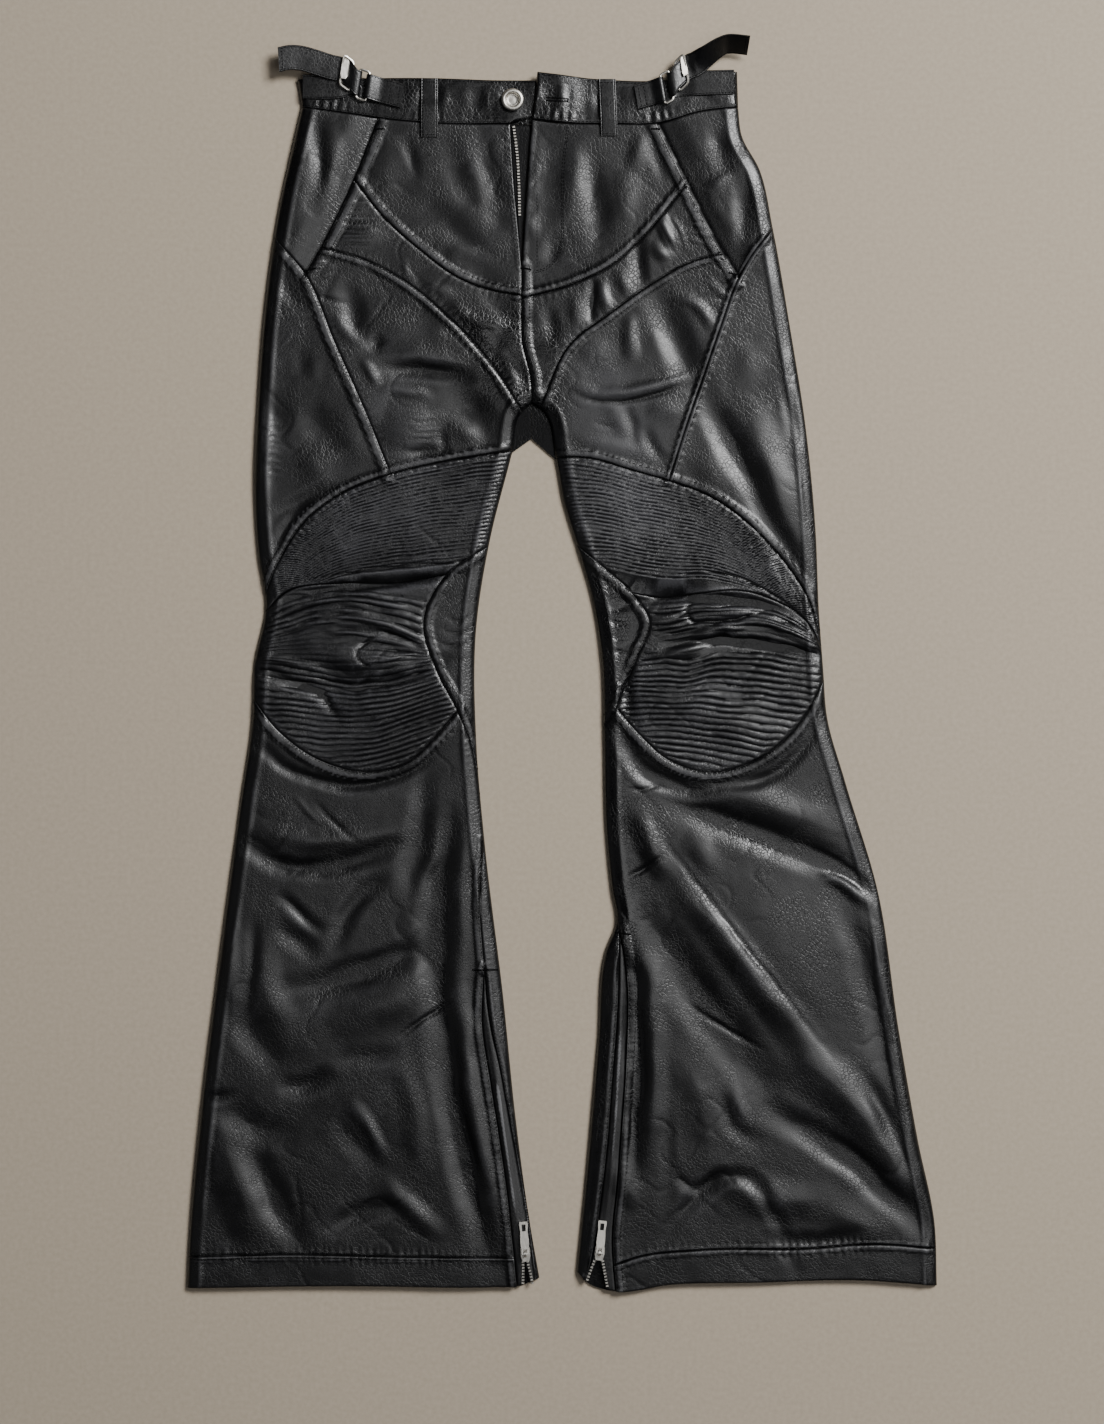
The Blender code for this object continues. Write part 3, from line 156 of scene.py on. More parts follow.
# Seams and outlines. "right" and "left" are the wearer's.
CURVES = {
    "right": {
        "outer": ((-232, 496), (-240, 462), (-251, 412), (-263, 333), (-271, 235), (-274, 155), (-270, 93),
                  (-264, 54), (-274, 0), (-276, -49), (-286, -120), (-308, -285), (-322, -400), (-332, -512),
                  (-334, -555)),
        "inner": ((-27, 232), (-36, 224), (-44, 190), (-64, 111), (-76, 35), (-76, -72), (-69, -156),
                  (-52, -298), (-41, -405), (-29, -494), (-20, -546)),
        "hem": ((-334, -555), (-188, -553), (-62, -554), (-37, -553), (-20, -546)),
        "waist": ((-232, 496), (-188, 490), (-144, 484), (-100, 481), (-46, 481)),
        "pocket": ((-164, 483), (-185, 431), (-214, 371), (-228, 347)),
        "yoke": ((-185, 431), (-161, 400), (-126, 368), (-89, 342), (-60, 332), (-36, 328)),
        "thigh": ((-214, 371), (-178, 361), (-144, 344), (-100, 308), (-64, 269), (-36, 226)),
        "side": ((-256, 380), (-228, 347), (-202, 287), (-175, 226), (-152, 169)),
        "rib_top": ((-44, 190), (-100, 181), (-152, 169), (-197, 151), (-233, 122), (-252, 91), (-266, 58)),
        "knee_top": ((-265, 46), (-246, 64), (-197, 72), (-144, 73), (-103, 80)),
        "gusset": ((-65, 106), (-103, 80), (-123, 40), (-111, -7), (-93, -41), (-80, -76), (-72, -122)),
        "knee_arc": ((-274, -32), (-251, -60), (-215, -85), (-175, -95), (-140, -88), (-113, -64), (-93, -41)),
        "inseam": ((-69, -156), (-73, -209), (-69, -270)),
        "zip_front": ((-69, -270), (-71, -316), (-63, -374), (-56, -418), (-49, -467), (-44, -512), (-40, -553)),
        "zip_back": ((-69, -270), (-64, -316), (-55, -358), (-45, -414), (-36, -463), (-29, -507), (-24, -548)),
        "hem_seam": ((-333, -527), (-233, -525), (-144, -527), (-43, -528)),
    },
    "left": {
        "outer": ((157, 496), (160, 472), (176, 441), (188, 388), (203, 302), (217, 213), (226, 120), (229, 48),
                  (233, -7), (236, -45), (252, -103), (281, -200), (300, -325), (317, -423), (332, -498),
                  (334, -553)),
        "inner": ((-27, 232), (-18, 226), (-6, 184), (1, 146), (13, 106), (27, 57), (35, 4), (37, -67),
                  (39, -147), (44, -200), (48, -229), (39, -254), (32, -334), (22, -449), (13, -540)),
        "hem": ((13, -540), (25, -552), (48, -558), (96, -552), (176, -550), (265, -548), (334, -553)),
        "waist": ((-27, 485), (-2, 482), (43, 481), (87, 482), (123, 492), (157, 496)),
        "pocket": ((84, 482), (111, 427), (142, 366), (157, 343)),
        "yoke": ((111, 427), (89, 399), (69, 376), (43, 354), (7, 337), (-36, 325)),
        "thigh": ((142, 366), (114, 358), (83, 341), (43, 313), (7, 285), (-20, 228)),
        "side": ((188, 388), (167, 361), (157, 343), (140, 297), (123, 248), (108, 204), (95, 163)),
        "rib_top": ((-6, 184), (25, 183), (60, 173), (95, 163), (132, 149), (167, 124), (198, 91), (217, 62),
                    (229, 29)),
        "knee_top": ((62, 64), (87, 59), (123, 63), (158, 66), (189, 57), (216, 40), (231, 16)),
        "gusset": ((15.5, 104.2), (39, 85), (62, 64), (78, 38), (67, 6), (57, -18), (49, -39), (37, -56)),
        "knee_arc": ((49, -39), (69, -62), (94, -84), (127, -95), (167, -87), (198, -66), (219, -40),
                     (233, -14)),
        "zip_front": ((48, -226), (54, -250), (58, -285), (57, -352), (53, -414), (49, -467), (45, -512),
                      (48, -558)),
        "zip_back": ((51, -238), (50, -298), (45, -369), (40, -432), (33, -489), (27, -525), (21, -550)),
        "hem_seam": ((45, -535), (69, -527), (123, -521), (212, -520), (283, -516), (334, -520)),
    },
    "middle": {
        "fly_right": ((-46, 481), (-43, 431), (-38, 377), (-36, 354)),
        "fly_left": ((-27, 485), (-30, 440), (-33, 395), (-36, 354)),
        "centre": ((-36, 354), (-36, 326), (-35, 284), (-28, 255), (-27, 232)),
    },
}
PERIMETER = {"outer", "inner", "hem", "waist", "fly_right", "fly_left", "centre"}
INWARD = {("right", "outer"): 1, ("right", "inner"): -1, ("left", "inner"): 1, ("left", "outer"): -1}

# Spot inside each piece of the front
SEEDS = {
    "front_yoke_right": (-100, 420),
    "front_yoke_left": (30, 420),
    "front_middle_right": (-120, 340),
    "front_middle_left": (60, 345),
    "hip_side_right": (-220, 430),
    "hip_side_left": (140, 440),
    "thigh_front_right": (-120, 240),
    "thigh_front_left": (60, 240),
    "thigh_side_right": (-240, 220),
    "thigh_side_left": (180, 220),
    "thigh_ribs_right": (-120, 120),
    "thigh_ribs_left": (90, 110),
    "knee_ribs_right": (-190, 0),
    "knee_ribs_left": (140, 0),
    "knee_gusset_right": (-90, 20),
    "knee_gusset_left": (50, 20),
    "shin_right": (-180, -300),
    "shin_left": (150, -300),
    "hem_band_right": (-180, -540),
    "hem_band_left": (200, -535),
    "inseam_strip_right": (-52, -330),
    "inseam_strip_left": (38, -350),
    "ankle_zip_tape_right": (-50, -450),
    "ankle_zip_tape_left": (48, -450),
}

# The open end of each ankle zip: apex and the two ends on the hem
ZIP_MOUTHS = {
    "right": ((-35, -560), (-33, -532), (-27, -560)),
    "left": ((17, -561), (33.5, -531), (41, -566)),
}

# Folds and creases: x and y of the start, the middle and the end, then width, rise, and how crisp
FOLDS = creases((
    # right hip and yoke
    (-213, 489, -213, 455, -209, 425, 7, -1.6), (-226, 478, -229, 435, -236, 395, 10, 1.7),
    (-198, 480, -202, 440, -208, 400, 8, 1.4), (-96, 479, -88, 445, -74, 410, 12, -0.9),
    (-84, 479, -74, 440, -62, 405, 12, 0.8), (-72, 479, -60, 435, -50, 395, 10, -1.3),
    (-137, 472, -131, 452, -126, 436, 6, -0.9), (-150, 470, -152, 440, -160, 415, 12, 0.7),
    (-118, 428, -84, 406, -44, 368, 12, 1.1), (-130, 414, -94, 396, -48, 368, 14, -1.3),
    (-84, 368, -66, 352, -44, 346, 13, -1.2), (-108, 386, -82, 372, -56, 362, 9, 1.1),
    # right front, down into the crotch
    (-182, 392, -166, 388, -154, 396, 9, 1.3), (-139, 362, -137, 352, -133, 342, 4, 1.0, 0.5),
    (-118, 340, -106, 335, -94, 330, 6, 0.9, 0.3), (-94, 322, -72, 308, -47, 309, 6, 1.4, 0.3),
    (-66, 330, -50, 322, -41, 306, 9, -1.4), (-96, 305, -76, 291, -60, 271, 8, -1.6),
    (-58, 301, -53, 282, -42, 256, 10, -1.6), (-56, 286, -47, 265, -34, 241, 6, 1.0, 0.2),
    (-40, 284, -33, 262, -28, 238, 9, -1.2),
    # right thigh
    (-222, 333, -208, 326, -190, 323, 4.5, -1.6, 0.4), (-248, 350, -234, 332, -222, 322, 8, -1.2),
    (-188, 342, -181, 316, -177, 296, 10, -1.7), (-168, 330, -150, 312, -120, 300, 16, 1.2),
    (-166, 294, -162, 288, -158, 283, 7, -1.3), (-200, 315, -192, 302, -178, 288, 6, 1.1),
    (-156, 268, -120, 265, -82, 258, 8, -3.6), (-158, 279, -122, 277, -88, 271, 8, 1.4),
    (-173, 273, -168, 262, -161, 251, 5, 1.5, 0.4), (-156, 247, -132, 245, -112, 239, 5, 1.5, 0.3),
    (-144, 230, -124, 220, -110, 210, 22, 2.6), (-146, 193, -128, 191, -102, 191, 5, -1.5),
    (-106, 210, -104, 200, -102, 190, 5, -1.0), (-98, 240, -75, 232, -56, 208, 14, -2.4),
    (-96, 214, -82, 209, -68, 204, 9, 1.1), (-182, 224, -162, 208, -140, 200, 12, -1.2),
    (-254, 246, -246, 228, -236, 218, 15, -1.6), (-222, 232, -204, 213, -184, 204, 14, -2.0),
    (-262, 250, -263, 200, -263, 150, 9, 2.0), (-220, 196, -212, 180, -206, 165, 14, 1.3),
    (-216, 282, -217, 268, -217, 254, 8, 0.5), (-231, 286, -229, 272, -229, 258, 8, -0.5),
    (-251, 283, -243, 290, -239, 300, 2.5, 0.5, 0.7), (-255, 132, -236, 146, -208, 158, 7, -1.8),
    (-250, 96, -246, 120, -228, 142, 5, -1.2, 0.5),
    # above the right knee
    (-250, 62, -175, 74, -98, 82, 7.5, -5.6, 0.2), (-236, 74, -175, 84.5, -90, 92, 2.2, -1.5, 0.5),
    (-240, 69, -175, 79.5, -92, 87, 4.5, 1.8), (-160, 92, -125, 95, -84, 99, 4, 1.0, 0.3),
    # right knee: arched ribs, the pinched bulge and the deep crease under it
    (-266, 44, -230, 50, -204, 55, 7, -1.9), (-262, 27, -244, 30, -222, 40, 5, -1.4),
    (-190, 62, -156, 58, -126, 44, 9, 1.7), (-192, 47, -156, 38, -124, 21, 6, 2.2, 0.3),
    (-160, 32, -140, 25, -123, 16, 4, -2.0, 0.4), (-225, 20, -180, 10, -136, 6, 15, 4.4),
    (-266, 8, -240, 3, -212, -3, 5, 2.4, 0.2), (-166, 26, -176, 18, -182, 12, 2.6, -1.5, 0.6),
    (-182, 13, -179, 5, -171, 0, 2.6, -1.5, 0.6), (-178, 15, -150, 13, -124, 10, 2.4, -1.2, 0.6),
    (-172, 22, -152, 18, -140, 16, 2.2, -1.0, 0.6), (-168, 9, -150, 7, -136, 9, 3, 1.0, 0.5),
    (-280, 3, -194, -18, -108, 4, 8, -5.4, 0.15), (-238, -14, -214, -24, -196, -44, 7, -3.0, 0.2),
    (-198, -30, -160, -32, -128, -22, 17, 3.2), (-262, -32, -236, -36, -222, -46, 12, 1.2),
    (-196, -76, -160, -70, -122, -58, 14, 1.4), (-266, -70, -196, -106, -122, -84, 7.5, -3.4),
    # right shin
    (-268, -140, -226, -152, -156, -148, 8, 2.4), (-286, -148, -226, -176, -148, -158, 9, -4.0),
    (-216, -124, -198, -142, -180, -157, 4.5, -1.8, 0.3), (-236, -116, -226, -128, -214, -140, 4, 0.9, 0.4),
    (-118, -96, -124, -148, -134, -196, 10, -2.4), (-102, -126, -111, -162, -122, -204, 9, 1.6),
    (-101, -140, -106, -240, -98, -340, 14, -4.0), (-98, -320, -86, -416, -60, -512, 13, -5.0),
    (-84, -124, -86, -200, -90, -262, 8, 1.6), (-92, -250, -78, -370, -50, -500, 10, 3.4),
    (-248, -202, -228, -219, -212, -236, 6, -2.0), (-250, -230, -234, -240, -218, -254, 9, -2.2),
    (-158, -186, -184, -214, -199, -248, 9, -2.6), (-250, -286, -190, -274, -110, -244, 12, -4.2),
    (-262, -250, -256, -290, -236, -322, 13, 2.2), (-196, -304, -166, -300, -124, -282, 17, 2.6),
    (-280, -296, -268, -326, -246, -352, 13, -2.6), (-246, -372, -224, -368, -202, -360, 9, -2.6),
    (-196, -346, -172, -344, -146, -340, 9, -1.4), (-144, -330, -122, -314, -98, -299, 4, -2.6, 0.3),
    (-290, -232, -292, -276, -290, -312, 7, 1.6), (-270, -226, -273, -260, -276, -300, 6, -1.6),
    (-318, -377, -304, -380, -292, -376, 6, -1.8, 0.3), (-292, -380, -274, -402, -240, -410, 13, -2.2),
    (-294, -404, -281, -456, -258, -510, 17, 3.8), (-272, -424, -250, -470, -226, -512, 12, -3.4),
    (-236, -452, -233, -474, -229, -496, 4, -1.0, 0.4), (-184, -388, -168, -410, -156, -436, 6, 1.8),
    (-196, -402, -178, -424, -160, -444, 9, -1.4), (-152, -458, -132, -478, -108, -500, 9, 2.6),
    (-206, -498, -170, -482, -134, -480, 9, -2.4), (-140, -352, -128, -396, -122, -446, 10, 1.3),
    # left fly and yoke
    (18, 466, 15, 430, 10, 394, 12, 1.7), (25, 466, 32, 430, 38, 378, 10, -1.8), (64, 442, 61, 416, 58, 392, 12, 1.4),
    (76, 472, 71, 456, 68, 442, 7, 1.3), (84, 472, 88, 452, 96, 434, 6, -0.9), (-20, 470, -22, 430, -24, 392, 9, 1.2),
    (2, 384, -4, 374, -8, 362, 8, -1.3), (-28, 402, -24, 394, -24, 384, 7, 1.2, 0.3),
    # left front, down into the crotch
    (31, 345, 28, 327, 30, 306, 5, -2.2, 0.3), (36, 344, 40, 328, 46, 314, 5, 1.6),
    (71, 388, 70, 364, 74, 340, 7, -2.6), (54, 356, 56, 344, 62, 330, 6, 1.5), (-10, 320, -8, 306, -2, 292, 7, -1.3),
    (14, 332, 16, 316, 14, 300, 7, 1.1), (92, 404, 95, 388, 105, 376, 5, 1.7, 0.4),
    (84, 377, 92, 369, 100, 362, 6, 2.0, 0.4),
    # left hip
    (128, 424, 137, 412, 147, 396, 6, 1.2), (150, 440, 142, 432, 132, 422, 6, 1.1),
    (166, 444, 166, 402, 163, 360, 9, -1.8), (158, 460, 174, 414, 181, 396, 8, 0.8),
    (138, 480, 144, 458, 146, 440, 8, -1.1),
    # left thigh
    (86, 340, 105, 300, 125, 252, 13, -3.4), (104, 329, 122, 322, 137, 302, 6, 1.7, 0.3),
    (62, 312, 62, 292, 66, 272, 6, 1.9), (22, 282, 34, 284, 48, 278, 12, 1.0),
    (132, 333, 142, 331, 151, 327, 2.4, 1.4, 0.5), (134, 327, 144, 324, 153, 322, 2.4, -1.5, 0.5),
    (136, 340, 146, 341, 156, 344, 2.4, -1.3, 0.5), (12, 251, 50, 243, 109, 257, 5, 2.3),
    (14, 243, 52, 235, 104, 247, 4, -2.5, 0.3), (44, 239, 53, 222, 60, 204, 7, 0.9),
    (60, 232, 65, 215, 66, 198, 5, -0.8), (78, 215, 83, 197, 95, 181, 6, -1.2, 0.2),
    (82, 234, 98, 232, 114, 226, 10, 1.5), (30, 216, 42, 213, 52, 211, 4, -0.9, 0.4),
    (14, 205, 50, 196, 88, 186, 7, 1.0), (131, 248, 158, 196, 188, 140, 12, -4.0),
    (182, 152, 200, 112, 218, 66, 11, -3.6), (166, 242, 187, 190, 210, 126, 16, 3.6),
    (172, 290, 172, 272, 174, 254, 14, 1.2), (204, 248, 207, 222, 212, 196, 7, -1.5),
    (126, 196, 136, 180, 150, 164, 13, 1.4),
    # above the left knee
    (42, 83, 62, 78, 86, 73, 2.2, -1.5, 0.5), (98, 77, 150, 80, 204, 52, 2.2, -1.6, 0.5),
    (50, 73, 78, 66, 114, 69, 2.6, -2.0, 0.4), (58, 64, 120, 68, 188, 66, 4.5, 2.2),
    (60, 57, 128, 61, 204, 50, 7, -5.2, 0.2),
    # left knee
    (116, 56, 112, 47, 118, 38, 3, -1.8, 0.4), (116, 39, 150, 40, 182, 49, 2.6, -1.9, 0.4),
    (124, 50, 150, 51, 178, 52, 8, 2.4), (78, 40, 98, 42, 110, 42, 7, 1.0),
    (86, 27, 108, 30, 130, 32, 2.4, -1.1, 0.5), (80, 18, 104, 13, 132, 27, 9, 3.2),
    (128, 30, 182, 40, 226, 20, 7, 3.6, 0.2), (86, 11, 140, 24, 228, 11, 6, -4.6, 0.2),
    (130, 15, 178, 17, 226, 6, 9, -3.2), (186, 41, 204, 38, 220, 28, 3, -1.4, 0.4),
    (84, -26, 130, -34, 190, -52, 25, 3.6), (60, 4, 62, -26, 64, -54, 9, -2.8),
    (54, -54, 86, -98, 150, -106, 11, -4.4), (140, -106, 190, -96, 226, -58, 8, -3.0),
    # left shin
    (64, -120, 76, -140, 92, -176, 10, 2.4), (104, -98, 180, -116, 252, -142, 14, 3.4),
    (98, -116, 176, -146, 258, -176, 13, -4.6), (150, -176, 214, -236, 268, -330, 42, 1.6),
    (212, -162, 250, -178, 279, -205, 7, -3.6), (238, -186, 260, -197, 277, -212, 6, 2.6),
    (60, -189, 78, -177, 93, -167, 4, -2.2, 0.3), (57, -109, 71, -110, 88, -107, 3.6, -1.2, 0.5),
    (116, -150, 130, -165, 138, -180, 10, 1.6), (98, -163, 160, -244, 228, -330, 4.5, -2.4),
    (96, -172, 152, -240, 226, -338, 13, 4.4), (76, -202, 126, -282, 192, -372, 19, -4.4),
    (114, -300, 146, -322, 180, -340, 4, -1.8, 0.3), (212, -336, 268, -386, 312, -456, 17, 4.6),
    (184, -388, 254, -430, 330, -498, 12, -5.0), (248, -198, 272, -262, 292, -352, 11, -2.4),
    (272, -360, 290, -398, 310, -442, 8, -2.8), (282, -240, 294, -310, 316, -430, 6, 1.8),
    (62, -242, 70, -340, 66, -440, 9, -5.0), (80, -246, 87, -340, 82, -446, 13, 2.2),
    (93, -276, 95, -384, 96, -492, 7, -0.8), (110, -340, 130, -384, 134, -436, 14, 1.7),
    (152, -372, 160, -394, 170, -410, 7, 1.1), (148, -384, 158, -406, 180, -424, 8, -1.4),
    (154, -436, 172, -462, 228, -470, 14, 2.6), (232, -470, 258, -484, 292, -500, 14, 1.6),
    (102, -452, 122, -462, 142, -448, 6, -1.4), (98, -498, 160, -452, 204, -512, 8, -2.6),
    (186, -506, 222, -510, 262, -502, 8, -2.4), (56, -440, 60, -462, 72, -476, 9, 1.3),
))

# Marks on the coat, laid out as the folds are: painted shade, a dull deep black in the crotch, round the gussets and
# along shadowed hollows of the hips and shins (-), and patches made lighter and greyer (+)
MARKS = creases((
    (-80, 226, -48, 276, -40, 334, 34, -2.3), (-52, 196, -30, 232, -22, 290, 20, -2.2),
    (-8, 320, -4, 262, 2, 196, 14, -1.3), (12, 84, 42, 66, 72, 40, 24, -2.0), (30, 10, 44, -60, 50, -150, 16, -1.5),
    (60, -205, 72, -330, 66, -450, 16, -1.5), (84, -104, 72, -180, 64, -260, 34, -1.9),
    (-96, 330, -70, 306, -40, 316, 22, -1.6), (46, 92, 52, 30, 46, -60, 30, -1.3),
    (56, 48, 140, 30, 226, 8, 32, -0.8), (-101, -130, -108, -240, -98, -340, 15, -1.1),
    (-98, -320, -86, -416, -62, -512, 15, -1.1), (96, -120, 176, -150, 258, -180, 16, -1.1),
    (80, -208, 128, -284, 194, -374, 22, -0.9), (-280, -150, -226, -176, -148, -160, 11, -0.9),
    (46, -236, 38, -380, 20, -540, 11, -0.9), (220, -530, 270, -534, 330, -538, 14, -0.6),
    (150, 470, 176, 420, 186, 380, 14, -0.8), (-224, 480, -240, 440, -252, 400, 8, -0.6),
    (-166, 470, -190, 425, -222, 352, 7, -0.6), (50, 320, 64, 240, 84, 150, 58, 1.1),
    (-160, 300, -130, 230, -130, 160, 46, 0.7), (-256, 300, -250, 220, -250, 120, 26, 0.4),
    (-250, 84, -160, 140, -50, 140, 44, 0.5), (200, 70, 120, 130, 0, 140, 44, 0.5),
))
# A cord under the coated tape of each ankle zip
PIPING = {
    "right": Fold((-68, -300), (-51.5, -410), (-36, -520), 2.4, 1.0),
    "left": Fold((54, -270), (48.5, -400), (37, -512), 2.4, 1.0),
}

# Ribs run along guide curves; counts are the ribs between one guide and the next
RIB_FIELDS = {
    "thigh_ribs_right": RibField(
        (
            CURVES["right"]["rib_top"],
            ((-66, 90), (-108, 86), (-152, 82), (-189, 78), (-220, 66), (-244, 40), (-252, 13)),
        ),
        (27,),
        (0.85,),
    ),
    "thigh_ribs_left": RibField(
        (
            CURVES["left"]["rib_top"],
            ((21, 84), (44, 82), (72, 76), (100, 74), (130, 74), (165, 66), (196, 46), (214, 16), (218, -22)),
        ),
        (27,),
        (0.95,),
    ),
    "knee_ribs_right": RibField(
        (
            ((-280, 48), (-240, 68), (-200, 82), (-150, 84), (-90, 90)),
            ((-280, 38), (-240, 56), (-200, 66), (-150, 62), (-100, 48)),
            ((-280, 18), (-240, 28), (-200, 38), (-160, 34), (-105, 12)),
            ((-280, 2), (-240, -3), (-200, -11), (-170, -11), (-100, 4)),
            ((-284, -108), (-230, -108), (-188, -108), (-84, -74)),
        ),
        (3, 5, 8, 19),
        (0, 1.1, 0.5, 1.1),
    ),
    "knee_ribs_left": RibField(
        (
            ((46, 82), (87, 74), (123, 76), (158, 80), (204, 66), (244, 16)),
            ((50, 48), (90, 50), (120, 54), (160, 57), (200, 46), (242, 12)),
            ((56, 24), (90, 26), (125, 33), (150, 34), (190, 32), (242, 10)),
            ((56, 2), (90, 6), (110, 5), (140, 12), (175, 10), (205, 6), (242, 0)),
            ((30, -84), (90, -86), (150, -98), (244, -112)),
        ),
        (4, 5, 4, 18),
        (0, 0.9, 0.3, 1.25),
    ),
}

# Waistband
BAND_TOP = {
    "right": ((-236, 521), (-174, 522), (-117, 522), (-55, 520), (-8, 520)),
    "left": ((-22, 527), (34, 521), (87, 520), (123, 526), (156, 528)),
}
BUTTON_END = ((-30, 486), (-8, 486))  # foot of the button extension
BAND_BACK_TOP = ((-236, 519), (-174, 520), (-40, 518), (90, 518), (156, 526))
WAIST_BACK = ((-232, 496), (-130, 484), (-27, 481), (60, 484), (157, 496))
CENTRE_BACK = ((-27, 481), (-27, 201))
BACK_CROTCH = {"right": (-44, 189), "left": (-6, 183)}

# Button on the right extension: radius and height over the band, from the hollow over the rim and down the shank
BUTTON_AT = (-44, 502)
BUTTON_PROFILE = (
    (0.001, 0.9), (2.0, 0.8), (4.0, 0.8), (5.2, 1.3), (6.0, 3.4), (7.1, 4.8), (8.6, 4.7), (9.8, 3.8), (10, 2.9),
    (9.2, 2.3), (6, 1.3), (4.2, 1.2), (4.2, 0.8), (4.4, 0.0), (0.001, 0),
)
BUTTON_SIDES = 48

# Raised bands, stitch rows and puckers beside the seams
SEAMS = (
    Seam("right", "pocket", 0, 9.2, (1.8, 8.4), 0.12),
    Seam("left", "pocket", -9.2, 0, (-1.8, -8.4), 0.12),
    Seam("right", "yoke", 0, 7.2, (1.3, 6.2), 0.22),
    Seam("left", "yoke", -7.2, 0, (-1.3, -6.2), 0.22),
    Seam("right", "thigh", -7, 0, (-1.3, -6), 0.28),
    Seam("left", "thigh", 0, 7, (1.3, 6), 0.28),
    Seam("right", "side", -8.6, 0, (-1.4, -7.4), 0.2, 0.9),
    Seam("left", "side", -4.4, 4.4, (-3.4, 3.4), 0.2),
    Seam("right", "rib_top", -7.4, 0, (-1.3, -6.2), 0.4),
    Seam("left", "rib_top", 0, 7.4, (1.3, 6.2), 0.45),
    Seam("right", "gusset", 0, 7.8, (1.4, 6.6), 0.25),
    Seam("left", "gusset", -7.8, 0, (-1.4, -6.6), 0.25),
    Seam("right", "knee_arc", -8.4, 0, (-1.4, -7.2), 0.15, 0.9),
    Seam("left", "knee_arc", -8.4, 0, (-1.4, -7.2), 0.15, 0.9),
    Seam("right", "inseam", -6, 0, (-1.4,), 0.25),
    Seam("right", "zip_front", -7.6, 0, (-1.6, -6.8), 0.2),
    Seam("left", "zip_front", 0, 7.6, (1.6, 6.8), 0.2),
    Seam("right", "zip_back", 0, 5, (1.6,), 0.1, 0.5),
    Seam("left", "zip_back", -5, 0, (-1.6,), 0.1, 0.5),
    Seam("right", "hem_seam", -4, 2.4, (1.5, -2.4), 0.5, 0.5),
    Seam("left", "hem_seam", -4, 2.4, (1.2,), 0.55, 0.6),
    Seam("middle", "centre", 0, 8.4, (1.4, 7.2), 0.25),
    Seam("middle", "fly_right", -4, 0, (-1.8,), 0.1, 0.4),
    Seam("middle", "fly_left", 0, 4, (), 0.05, 0.3),
)
PUCKER_PITCH, PUCKER_REACH = 6.4, 6.0
PUCKER_AWAY = 3.5  # where the puckers are deepest beside the line
BAND_SHOULDER = 1.3
BAND_STITCHES = (2.0, 34.0)  # grooves of the waistband's stitched rows, from its lower edge
STITCH_SINK = 0.5  # how far a stitched row pulls the cloth down
SEAM_REACH, WEAR_REACH = 16, 12

# Patches of small ridges
GATHERS = (
    # the front panels beside the pocket mouths
    Gathers(((-203, 411), (-180, 412), (-158, 411)), ((-199, 372), (-178, 371), (-162, 372)), 9, 2.4, 0.9),
    Gathers(((106, 421), (120, 424), (134, 420)), ((108, 380), (122, 377), (136, 378)), 8, 2.6, 0.9),
    Gathers(((82, 402), (92, 380), (104, 358)), ((98, 402), (106, 384), (114, 366)), 4, 3.2, 0.8),
    # corners of the thigh panels
    Gathers(((-222, 360), (-212, 357), (-200, 355)), ((-222, 344), (-210, 346), (-198, 348)), 4, 2.6, 0.8),
    Gathers(((128, 358), (140, 350), (150, 340)), ((124, 344), (136, 336), (146, 326)), 4, 3.0, 0.9),
    # outer edge of the right thigh and the rubbed patch in its middle
    Gathers(((-264, 218), (-256, 220), (-250, 218)), ((-262, 168), (-254, 170), (-248, 168)), 9, 2.6, 0.5),
    Gathers(((-140, 228), (-124, 224), (-110, 226)), ((-138, 200), (-124, 198), (-106, 198)), 6, 2.8, 0.6),
    # pinched folds round the right knee
    Gathers(((-252, 62), (-200, 66), (-128, 60)), ((-246, 26), (-190, 30), (-124, 18)), 6, 3.4, 1.1, 2.0),
    Gathers(((-196, 24), (-160, 20), (-122, 12)), ((-206, 2), (-166, 4), (-122, 12)), 4, 3.0, 1.0, 2.0),
    Gathers(((-176, -4), (-150, -2), (-118, 6)), ((-180, -22), (-150, -20), (-112, -12)), 3, 3.2, -0.9, 2.0),
    # pinched folds round the left knee
    Gathers(((66, 58), (110, 60), (182, 56)), ((70, 40), (110, 42), (170, 46)), 4, 3.2, 1.1, 2.0),
    Gathers(((76, 34), (120, 36), (200, 30)), ((84, 14), (130, 24), (214, 20)), 4, 3.2, 1.0, 2.0),
    Gathers(((134, 40), (160, 42), (186, 40)), ((150, 30), (176, 32), (206, 26)), 3, 3.0, -0.9, 2.0),
    # backs of the knees, seen beside the gussets
    Gathers(((-104, 44), (-92, 40), (-80, 44)), ((-108, 8), (-94, 6), (-80, 10)), 4, 3.4, -0.7),
    Gathers(((40, 56), (50, 50), (62, 52)), ((38, 14), (50, 12), (62, 10)), 4, 3.4, -0.7),
)


def spline(points: Sequence, spacing: float) -> Points:
    """Points along a smooth curve through the given ones.

    Args:
        points: corners of the curve, in millimetres.
        spacing: distance between the points returned.

    Returns:
        The points, the first and the last corner among them.
    """
    knots = np.array(points, float)
    runs = np.linalg.norm(np.diff(knots, axis=0), axis=1)
    slopes = np.diff(knots, axis=0) / runs[:, None]
    bends = slopes[:-1] * runs[1:, None] + slopes[1:] * runs[:-1, None]
    tangents = np.vstack([slopes[:1], bends / (runs[1:] + runs[:-1])[:, None], slopes[-1:]])
    stops = np.concatenate([[0], np.cumsum(runs)])
    at = np.linspace(0, stops[-1], max(2, round(stops[-1] / spacing) + 1))
    i = np.clip(np.searchsorted(stops, at, side="right") - 1, 0, len(runs) - 1)
    t = ((at - stops[i]) / runs[i])[:, None]
    run = runs[i][:, None]
    return (
        (2 * t**3 - 3 * t**2 + 1) * knots[i]
        + (t**3 - 2 * t**2 + t) * run * tangents[i]
        + (3 * t**2 - 2 * t**3) * knots[i + 1]
        + (t**3 - t**2) * run * tangents[i + 1]
    )


